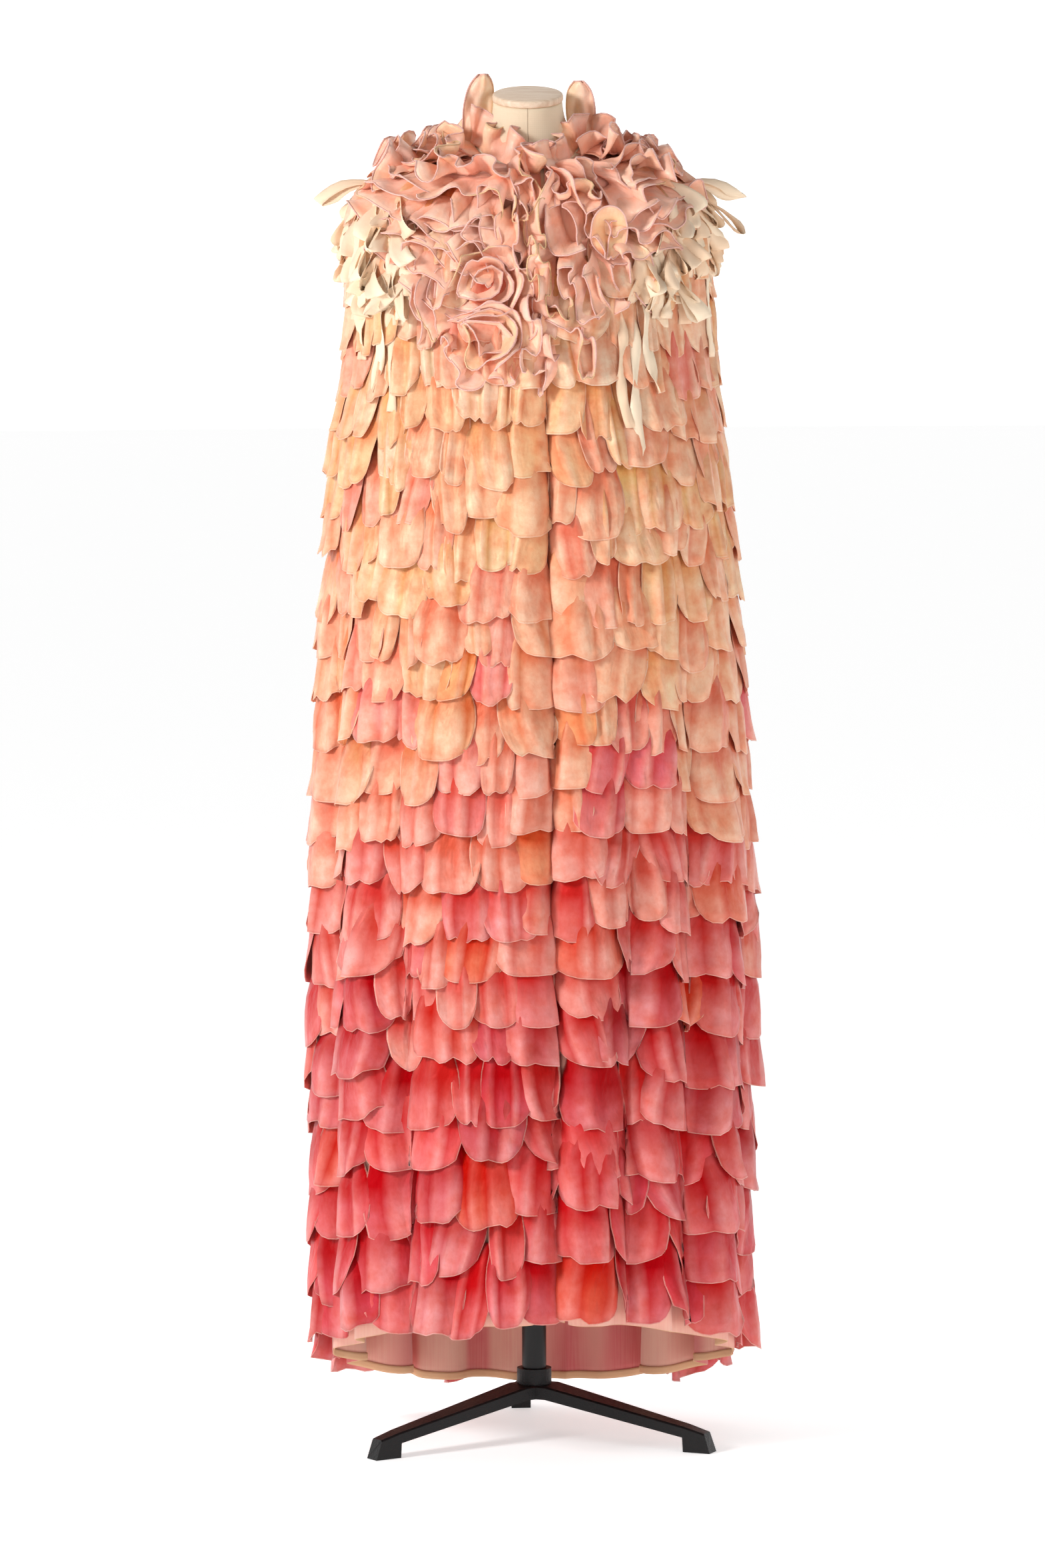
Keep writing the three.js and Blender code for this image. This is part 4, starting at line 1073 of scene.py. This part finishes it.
class Ribbon:
    """A chiffon ribbon, gathered and sewn down at its foot: a loop that springs out and comes back, or a
    tail that hangs down."""

    def __init__(self, side, drop, long, wide, lift, turn, loop, chance):
        self.side, self.drop = side, drop
        self.long, self.wide, self.loop = long, wide, loop
        self.turn = math.radians(turn)
        self.quarter = quarter_length(drop)
        self.lift = math.radians(lift)
        self.twist = chance.uniform(-1.3, 1.3)
        self.bend = chance.uniform(-14, 14)
        self.seed = chance.uniform(0, 50)
        self.wave = chance.uniform(1.2, 3.2)
        self.tone = chance.random()
        self.cup = chance.uniform(-4, 4)
        self.stand = chance.uniform(5, 11)

    def place(self, u, v):
        rough = noise.noise(Vector((u * 1.1, v * 4, self.seed)))
        fine = noise.noise(Vector((u * 2.6, v * 11, self.seed + 9)))
        if self.loop > 0:
            out = math.sin(math.pi * v)
            reach = self.long * out * math.cos(self.lift)
            aside = reach * math.sin(self.turn) + self.bend * out * out
            side, drop = self.side + aside / self.quarter, self.drop + reach * math.cos(self.turn)
            point, face, along, down = cloth_frame(side, drop)
            fat = -self.loop * self.long * math.sin(2 * math.pi * v) * out
            stand = 4 + self.stand * out + self.long * out * math.sin(self.lift) + fat - math.cos(math.pi * v) * 1.5
            spine = point + face * stand * MM
            opened = clamp(0.25 + 1.1 * out)
            twist = self.twist * out + 0.4 * math.sin(2 * math.pi * v + self.seed)
            across = along * math.cos(self.turn) - down * math.sin(self.turn)
        else:
            side = self.side + self.bend * v * 0.0012
            point, face, across, _ = cloth_frame(side, min(self.drop + self.long * v, HEM))
            swerve = across * math.sin(self.wave * v * 2 + self.seed) * 7 * v
            spine = point + (face * (5 + self.stand * smooth(v, 0, 0.3)) + swerve) * MM
            opened = clamp(0.3 + 3 * v)
            twist = self.twist * 0.6 * v + 0.5 * math.sin(self.wave * 3 * v + self.seed)
        axis = across * math.cos(twist) + face * math.sin(twist)
        width = self.wide * opened * u / 2
        cup = self.cup * (1 - u * u) * opened + 4.5 * rough + 2.2 * fine
        return spine + (axis * width + face * cup) * MM


# Where the ribbons are sewn on each shoulder: side from, to, drop from, to, how many, and how many of them
# are tails.
RIBBON_BEDS = {
    "right": [(-0.46, -0.7, 186, 255, 20, 9), (-0.6, -0.94, 130, 215, 34, 8), (-0.94, -1.3, 116, 190, 14, 5)],
    "left": [(0.46, 0.7, 186, 255, 20, 9), (0.6, 0.94, 130, 215, 34, 8), (0.94, 1.3, 116, 190, 14, 5)],
}
# Ribbons that stand out from the rest: side, drop, length, width, lift, turn, loop.
RIBBON_ACCENTS = {
    "right": [
        (-0.9, 132, 60, 17, 40, -34, 0.08),
        (-0.72, 240, 60, 20, 10, -8, 0.16),
        (-0.58, 262, 150, 17, 0, 0, 0),
        (-0.64, 262, 128, 14, 0, 0, 0),
        (-0.74, 240, 110, 16, 0, 0, 0),
    ],
    "left": [
        (0.88, 132, 62, 16, 42, 36, 0.08),
        (0.94, 150, 66, 14, 36, 10, 0.08),
        (0.42, 276, 190, 16, 0, 0, 0),
        (0.37, 282, 150, 13, 0, 0, 0),
        (0.48, 262, 130, 15, 0, 0, 0),
        (0.84, 220, 130, 14, 0, 0, 0),
    ],
}


# ---------------------------------------------------------------- form and stand

# Rings of the padded body below the shoulders: height, half width, depth in front and behind.
BODY = [
    (836, 150, 104, 112),
    (900, 163, 112, 124),
    (965, 168, 116, 126),
    (1040, 152, 108, 108),
    (1140, 117, 92, 80),
    (1215, 126, 100, 84),
    (1310, 150, 122, 98),
    (1390, 168, 122, 108),
    (1450, 180, 112, 112),
]
# The same for the neck, and how far forward each ring lies.
NECK = [(1618, 46, 47, 48, 6), (1634, 43, 45, 46, 9), (1644, 42, 44, 45, 11), (1646, 42, 44, 45, 11)]
CAP = (43, 46, 9, 1654.5, 11.5, 13.5)  # half width, half depth, thickness, height, how far forward, tilt
POLE_RADIUS = 15


# ---------------------------------------------------------------- stage

# Area lights: name, place, what they point at, size and watts.
LIGHTS = [
    ("key softbox", (-3.4, -2.5, 2.7), (0, 0, 0.9), 1.1, 150),
    ("fill softbox", (3.2, -3.4, 1.9), (0, 0, 0.9), 1.8, 46),
]
FLOOR = (-0.0005, 40)  # height and radius
LENS = 150.3
EYE = (-8.0, 1.5)  # how far in front of the pole the camera stands, and its height
AIM = (-0.0107, 0.812)  # how far beside the pole it points, and at what height
ROLL = -0.3  # degrees


# ---------------------------------------------------------------- add-on


class CAPE_PG_cape(PropertyGroup):
    """Sizes of the petals."""

    tiers: IntProperty(name="Tiers", description="Rows of petals", default=26, min=4, max=40)
    first_tier: FloatProperty(
        name="First tier", description="How far down the cloth the first petals end", default=0.146, unit="LENGTH"
    )
    last_tier: FloatProperty(
        name="Last tier", description="How far down the cloth the last petals end", default=1.584, unit="LENGTH"
    )
    petal_wide_top: FloatProperty(
        name="Petal width, top", description="Width between petals at the shoulders", default=0.038, unit="LENGTH"
    )
    petal_wide_hem: FloatProperty(
        name="Petal width, hem", description="Width between petals at the hem", default=0.059, unit="LENGTH"
    )
    petal_lift: FloatProperty(
        name="Lift, top", description="How far a petal's tip stands off the cloth", default=0.0095, unit="LENGTH"
    )
    petal_lift_hem: FloatProperty(
        name="Lift, hem", description="The same at the hem", default=0.0125, unit="LENGTH"
    )


class CAPE_PG_collar(PropertyGroup):
    """Sizes and colours of the collar."""

    roll: FloatProperty(name="Rolled edge", description="Thickness of the rolled edge", default=0.0021, unit="LENGTH")
    salmon: FloatVectorProperty(
        name="Salmon", description="Main dye", subtype="COLOR", size=3, min=0, max=1, default=linear("FEDAC6")
    )
    pink: FloatVectorProperty(
        name="Pink", description="Second dye", subtype="COLOR", size=3, min=0, max=1, default=linear("FDD0BE")
    )
    peach: FloatVectorProperty(
        name="Peach", description="Third dye", subtype="COLOR", size=3, min=0, max=1, default=linear("FCDFBC")
    )
    lilac: FloatVectorProperty(
        name="Lilac", description="Rolled edge", subtype="COLOR", size=3, min=0, max=1, default=linear("E9B8AA")
    )
    cream: FloatVectorProperty(
        name="Cream", description="Bound edge", subtype="COLOR", size=3, min=0, max=1, default=linear("E3BC88")
    )


class CAPE_PG_ribbons(PropertyGroup):
    """Sizes and colour of the shoulder ribbons."""

    wide: FloatProperty(name="Width", description="Width of a ribbon", default=0.020, unit="LENGTH")
    long: FloatProperty(name="Length", description="Length of a loop", default=0.054, unit="LENGTH")
    cream: FloatVectorProperty(
        name="Cream", description="Colour", subtype="COLOR", size=3, min=0, max=1, default=linear("F7E3C8")
    )


class CAPE_OT_ground(Operator):
    """Makes the organza that the petals are sewn to, and the tape inside its hem"""

    bl_idname = "cape.make_ground"
    bl_label = "Make ground cloth"

    def execute(self, context):
        cloth_silk = organza()
        ecru = bias_tape()
        for number, name in enumerate(PANELS):
            def sides(drop):
                start = opening_side(drop) + opening_gap(drop) if number == 0 else number
                end = 4 + opening_side(drop) - opening_gap(drop) if number == 3 else number + 1
                return start, end

            def ground(u, v):
                drop = v * HEM
                lap = lerp(*sides(drop), (u + 1) / 2)
                point, normal, along, down = cloth_frame(lap, drop)
                tone = noise.noise(Vector((lap * 5, v * 6, 3))) * 0.5 + 0.5
                dye = mix(linear("F2C3A4"), linear("EBA488"), tone)
                dye = mix(dye, linear("F4BCA8"), 0.85 * smooth(v, 0.4, 0.75))
                stripe = noise.noise(Vector((lap * 7, v * 1.2, 8)))
                backed = 1 - smooth(abs(lap - 2), 0.9, 1.1)
                dye = mix(dye, linear("DC5A64"), 0.85 * smooth(stripe, -0.1, 0.3) * backed)
                return point + normal * (0.8 - hem_fold(lap, drop)) * MM, dye, (0.5, 0.5, 0.5, 0)

            cloth = Cloth()
            cloth.patch(110, 100, ground)
            piece = thicken(new_piece(f"ground_{name}", cloth.bm, cloth_silk), THICK["ground"])

            def tape(u, v):
                drop = HEM - TAPE_WIDE * (1 - v)
                lap = lerp(*sides(drop), (u + 1) / 2)
                point, normal, along, down = cloth_frame(lap, drop)
                point = point + (normal * (-0.3 - hem_fold(lap, drop)) + down * 0.6 * v) * MM
                return point, (1, 1, 1), (0.5, 0.5, 0.5, 0)

            hem = Cloth()
            hem.patch(110, 3, tape)
            edge = thicken(new_piece(f"tape_{name}", hem.bm, ecru), THICK["tape"])
            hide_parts("hem_tape_" + name)
            round_it = quarter_length(HEM) * MM
        return {"FINISHED"}


class CAPE_OT_petals(Operator):
    """Makes the tiers of silk petals, one piece for each panel"""

    bl_idname = "cape.make_petals"
    bl_label = "Make petals"

    def execute(self, context):
        silk = dyed_silk("hand-dyed habotai", 0.8, 2.4, edge_colour="F8DCC6", cloud_colour="F2BCAC")
        for name, petals in petal_tiers(context.scene.cape_petals).items():
            if not petals:
                raise RuntimeError(f"no petals on {name}")
            cloth = Cloth()
            for petal in petals:
                cloth.patch(12, 6, petal.place)
            piece = thicken(new_piece(f"petals_{name}", cloth.bm, silk), THICK["petal"])
            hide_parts("cape_" + name)
            area = sum(p.cut_area() for p in petals)
            print(name, len(petals), "petals")
        return {"FINISHED"}


class CAPE_OT_collar(Operator):
    """Makes the ruffled collar, its rosettes and its standing lobes"""

    bl_idname = "cape.make_collar"
    bl_label = "Make collar"

    def execute(self, context):
        collar = context.scene.cape_collar
        silk = dyed_silk("salmon silk", 0.6, 3.6, edge_colour="F0C4B8", cloud_colour="FCDAC6")
        piping = piping_silk()
        for number, (name, points, tall, pitch, swing, lean, cream) in enumerate(FRONT_FLOUNCES):
            flounce = Flounce(front_route(points), tall, pitch, swing, lean, seed=number + 3, cream=cream)
            flounce_pieces(f"flounce_{name}", flounce, collar, silk, piping)
        for number, (name, x, height, long, passes, gap, skew, toward, tall, cream) in enumerate(MEANDERS):
            side, drop = spot(x, height)
            folded = Meander(side, drop, long, passes, gap, skew, toward, tall, seed=number + 60, cream=cream)
            solids = [f"ruffle_{name}"] if int(name[-1]) <= 7 else []
            flounce_pieces(f"flounce_{name}", folded, collar, silk, piping, solids)
        for hand, name in ((1, "left"), (-1, "right")):
            for number, share in enumerate(RING_SHARES):
                lean = -hand * (40 if number else 12)
                ring = Flounce(ring_route(hand, share), 45, 48, 19, lean, seed=number + 31 + hand, bulb=0.26)
                flounce_pieces(f"flounce_{name}_back_{number + 1}", ring, collar, silk, piping)
        for number, (x, height, radius, turns, solid) in enumerate(ROSETTES):
            rosette = Rosette(x, height, radius, turns, 32, seed=number + 9)
            flounce_pieces(f"rosette_{number + 1}", rosette, collar, silk, piping, [solid])
        self.make_round_petal(collar, silk, piping)
        for name, side, drop, tall, wide, inwards in EARS:
            ear = Ear(side, drop, tall, wide, inwards)
            self.make_ear(name, ear, collar, silk, piping)
        return {"FINISHED"}

    def make_round_petal(self, collar, silk, piping):
        disc = RoundPetal(*ROUND_PETAL)

        def place(u, v):
            dye = mix(linear("F6D6AE"), linear("F6C6A8"), smooth(max(abs(u), abs(2 * v - 1)), 0.5, 1))
            return disc.place(u, 1 - 2 * v), dye, (0.7 + 0.2 * u, 0.7 + 0.2 * u, 0.5 + 0.2 * v, 4)

        rim = [disc.rim(i / 48) for i in range(49)]
        piece, tube, area = edged_piece("round_petal", disc, (16, 16), place, rim, collar, silk, piping)

    def make_ear(self, name, ear, collar, silk, piping):
        salmon = tuple(collar.salmon)

        def place(u, v):
            dye = mix(linear("FAE2C4"), salmon, smooth(u, -0.6, 0.6) * 0.9)
            return ear.place(u, 1 - v), dye, (0.5, 0.5, 0.5, 2)

        rim = [ear.place(-1, i / 14) for i in range(15)]
        rim += [ear.place(-1 + i / 7, 1) for i in range(1, 14)]
        rim += [ear.place(1, 1 - i / 14) for i in range(15)]
        piece, tube, _ = edged_piece(f"ear_{name}", ear, (14, 14), place, rim, collar, silk, piping)
        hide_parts(f"collar_lobe_{name}")
        ear.cut_area()


class CAPE_OT_ribbons(Operator):
    """Makes the bunches of chiffon ribbon on the shoulders"""

    bl_idname = "cape.make_ribbons"
    bl_label = "Make ribbons"

    def execute(self, context):
        look = context.scene.cape_ribbons
        thin = chiffon()
        for name, beds in RIBBON_BEDS.items():
            chance = random.Random(11 if name == "left" else 12)
            ribbons = []
            for side_a, side_b, drop_a, drop_b, count, tails in beds:
                for number in range(count):
                    side = chance.uniform(side_a, side_b)
                    ribbons.append(
                        Ribbon(
                            side,
                            chance.uniform(drop_a, drop_b),
                            look.long / MM * chance.uniform(0.7, 1.3) * (1.3 if number < tails else 1),
                            look.wide / MM * chance.uniform(0.8, 1.3),
                            chance.uniform(0, 22) * (1 - 0.8 * smooth(abs(side), 0.7, 0.95)),
                            chance.uniform(-34, 34),
                            0 if number < tails else chance.uniform(0.06, 0.16),
                            chance,
                        )
                    )
            for accent in RIBBON_ACCENTS[name]:
                ribbons.append(Ribbon(*accent, chance))
            cloth = Cloth()
            for ribbon in ribbons:
                tone = mix(tuple(look.cream), linear("F3D2B2"), 0.9 * ribbon.tone**1.5)

                def place(u, v, ribbon=ribbon, tone=tone):
                    edge = (0.5, 0.5, 0.5, 0)
                    return ribbon.place(u, v), mix(tone, linear("F6CBA8"), 0.35 * (1 - math.sin(math.pi * v))), edge

                cloth.patch(4, 18, place)
            piece = thicken(new_piece(f"ribbons_{name}", cloth.bm, thin), THICK["ribbon"], 0)
            nodes = [f"ribbon_{name}_loop_{i}" for i in range(1, 9)] + [f"ribbon_{name}_tail"]
            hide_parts(*nodes)
        return {"FINISHED"}


class CAPE_OT_form(Operator):
    """Makes the padded body, its neck and its cap"""

    bl_idname = "cape.make_form"
    bl_label = "Make dress form"

    def execute(self, context):
        rings = []
        for height, half, front, back in BODY:
            rings.append([self.oval(s, half, front, back, height) for s in self.sides()])
        for drop in (160, 140, 120, 100, 80, 60, 40, 20, 0):
            ring = []
            for side in self.sides():
                point, normal, along, down = cloth_frame(side, drop)
                ring.append(point - normal * 0.9 * MM)
            rings.append(ring)
        for height, half, front, back, forward in NECK:
            tilt = math.tan(math.radians(CAP[5])) * smooth(height, 1600, 1640)
            ring = []
            for side in self.sides():
                point = self.oval(side, half, front, back, height)
                point.z += (point.y - AXIS.y) * tilt
                point.y -= forward * MM
                ring.append(point)
            rings.append(ring)
        bm = bmesh.new()
        columns, rows = len(rings[0]), len(rings) - 1
        made = bmesh.ops.create_grid(bm, x_segments=columns, y_segments=rows, size=0.5)
        for vert in made["verts"]:
            column = round((vert.co.x + 0.5) * columns) % columns
            vert.co = rings[round((vert.co.y + 0.5) * rows)][column]
        bmesh.ops.remove_doubles(bm, verts=bm.verts[:], dist=1e-6)
        ends = [e for e in bm.edges if e.is_boundary]
        bmesh.ops.edgeloop_fill(bm, edges=ends)
        bmesh.ops.recalc_face_normals(bm, faces=bm.faces[:])
        body = new_piece("form_body", bm, canvas())
        rounded = body.modifiers.new("smooth padding", "SUBSURF")
        rounded.levels = rounded.render_levels = 1
        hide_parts("form_torso")
        self.make_cap()
        return {"FINISHED"}

    def sides(self):
        return [4 * i / 56 - 2 for i in range(56)]

    def oval(self, side, half, front, back, height):
        angle = angle_at(side)
        facing = math.cos(angle)
        y = -facing * (front if facing > 0 else back)
        return Vector((AXIS.x + half * math.sin(angle) * MM, AXIS.y + y * MM, height * MM))

    def make_cap(self):
        half, deep, thick, height, forward, tilt = CAP
        outline = [
            (0, 0),
            (half - 1.4, 0),
            (half - 0.4, 0.5),
            (half, 1.8),
            (half, thick - 3.4),
            (half - 0.5, thick - 1.6),
            (half - 1.8, thick - 0.5),
            (half - 4, thick),
            (0, thick + 0.8),
        ]
        bm = turned([(x * MM, z * MM) for x, z in outline], 72)
        tipped = Matrix.Rotation(math.radians(tilt), 4, "X")
        place = Matrix.Translation((AXIS.x, AXIS.y - forward * MM, height * MM)) @ tipped
        place = place @ Matrix.Scale(deep / half, 4, (0, 1, 0)) @ Matrix.Translation((0, 0, -thick * MM))
        bmesh.ops.transform(bm, matrix=place, verts=bm.verts[:])
        cap = new_piece("neck_cap", bm, pale_beech())
        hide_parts("form_neck_cap")


class CAPE_OT_stand(Operator):
    """Finishes the pole and the cast tripod"""

    bl_idname = "cape.make_stand"
    bl_label = "Make stand"

    def execute(self, context):
        low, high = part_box("stand_pole")
        bm = bmesh.new()
        bmesh.ops.create_cone(
            bm,
            cap_ends=True,
            segments=64,
            radius1=POLE_RADIUS * MM,
            radius2=POLE_RADIUS * MM,
            depth=high.z - low.z,
        )
        bmesh.ops.translate(bm, verts=bm.verts[:], vec=(AXIS.x, AXIS.y, (low.z + high.z) / 2))
        pole = new_piece("pole", bm, satin_black())
        pole.data.set_sharp_from_angle(angle=math.radians(40))
        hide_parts("stand_pole")
        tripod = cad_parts["stand_tripod"]
        paint = cast_black()
        for holder in tripod.material_slots:
            holder.material = paint
        return {"FINISHED"}


class CAPE_OT_stage(Operator):
    """Makes the floor, the lights and the camera"""

    bl_idname = "cape.make_stage"
    bl_label = "Make stage"

    def execute(self, context):
        scene = context.scene
        scene.view_settings.view_transform = "Standard"
        height, radius = FLOOR
        bm = turned([(0, height), (3, height), (radius, height)], 48)
        for face in bm.faces:
            face.smooth = True
        mesh = bpy.data.meshes.new("floor")
        bm.to_mesh(mesh)
        bm.free()
        floor = bpy.data.objects.new("floor", mesh)
        scene.collection.objects.link(floor)
        paper, tree, shader = new_material(
            "white background paper",
            {
                "Base Color": (0.93, 0.93, 0.93, 1),
                "Roughness": 0.9,
                GLOSS: 0.1,
                "Emission Color": (1, 1, 1, 1),
            },
        )
        # The paper is bright behind the cape, and dimmer on the front side of the room.
        xyz = node(tree, "ShaderNodeSeparateXYZ", {0: object_place(tree)})
        wire(tree, shader, {"Emission Strength": ramp(tree, xyz.outputs["Y"], -7.0, -2.5, 0.25, 0.5)})
        mesh.materials.append(paper)
        world = bpy.data.worlds.new("studio")
        scene.world = world
        world.use_nodes = True
        world.node_tree.nodes.clear()
        # A white wall behind, and a dim room in front that is paler near the floor.
        tree = world.node_tree
        heading = node(tree, "ShaderNodeTexCoord")
        xyz = node(tree, "ShaderNodeSeparateXYZ", {0: heading.outputs["Generated"]})
        behind = ramp(tree, xyz.outputs["Y"], -0.1, 0.45, 0.0, 0.9)
        low = ramp(tree, xyz.outputs["Z"], 0.12, 0.4, 0.45, 0.12)
        light = maths(tree, "ADD", behind, low)
        sky = node(tree, "ShaderNodeBackground", {"Color": (1, 1, 1, 1), "Strength": light})
        node(tree, "ShaderNodeOutputWorld", {"Surface": sky.outputs[0]})
        for light in LIGHTS:
            self.add_light(*light)
        camera = bpy.data.cameras.new("camera")
        camera.lens = LENS
        camera.sensor_width = 36
        camera.clip_end = 100
        eye = bpy.data.objects.new("camera", camera)
        scene.collection.objects.link(eye)
        target = Vector((AXIS.x + AIM[0], AXIS.y, AIM[1]))
        eye.location = (target.x, AXIS.y + EYE[0], EYE[1])
        looking = (target - eye.location).to_track_quat("-Z", "Y")
        eye.rotation_mode = "QUATERNION"
        eye.rotation_quaternion = looking @ Quaternion((0, 0, 1), math.radians(ROLL))
        scene.camera = eye
        return {"FINISHED"}

    def add_light(self, name, place, target, size, watts):
        data = bpy.data.lights.new(name, "AREA")
        data.shape = "SQUARE"
        data.size = size
        data.energy = watts
        lamp = bpy.data.objects.new(name, data)
        bpy.context.scene.collection.objects.link(lamp)
        lamp.location = place
        lamp.rotation_euler = (Vector(target) - Vector(place)).to_track_quat("-Z", "Y").to_euler()


class CAPE_PT_panel(Panel):
    """Lists the cape's sizes and its pieces"""

    bl_idname = "CAPE_PT_panel"
    bl_label = "Petal cape"
    bl_space_type = "VIEW_3D"
    bl_region_type = "UI"
    bl_category = "Petal cape"

    def draw(self, context):
        for group in (context.scene.cape_petals, context.scene.cape_collar, context.scene.cape_ribbons):
            box = self.layout.box()
            for name in group.__annotations__:
                box.prop(group, name)
        for operator in STEPS:
            self.layout.operator(operator.bl_idname)


STEPS = (
    CAPE_OT_stage,
    CAPE_OT_form,
    CAPE_OT_stand,
    CAPE_OT_ground,
    CAPE_OT_petals,
    CAPE_OT_collar,
    CAPE_OT_ribbons,
)
CLASSES = (CAPE_PG_cape, CAPE_PG_collar, CAPE_PG_ribbons, *STEPS, CAPE_PT_panel)


def register():
    for made in CLASSES:
        bpy.utils.register_class(made)
    bpy.types.Scene.cape_petals = PointerProperty(type=CAPE_PG_cape)
    bpy.types.Scene.cape_collar = PointerProperty(type=CAPE_PG_collar)
    bpy.types.Scene.cape_ribbons = PointerProperty(type=CAPE_PG_ribbons)


def unregister():
    del bpy.types.Scene.cape_petals
    del bpy.types.Scene.cape_collar
    del bpy.types.Scene.cape_ribbons
    for made in reversed(CLASSES):
        bpy.utils.unregister_class(made)


def main():
    register()
    bpy.ops.cape.make_stage()
    bpy.ops.cape.make_form()
    bpy.ops.cape.make_stand()
    bpy.ops.cape.make_ground()
    bpy.ops.cape.make_petals()
    bpy.ops.cape.make_collar()
    bpy.ops.cape.make_ribbons()


if __name__ == "__main__":
    main()
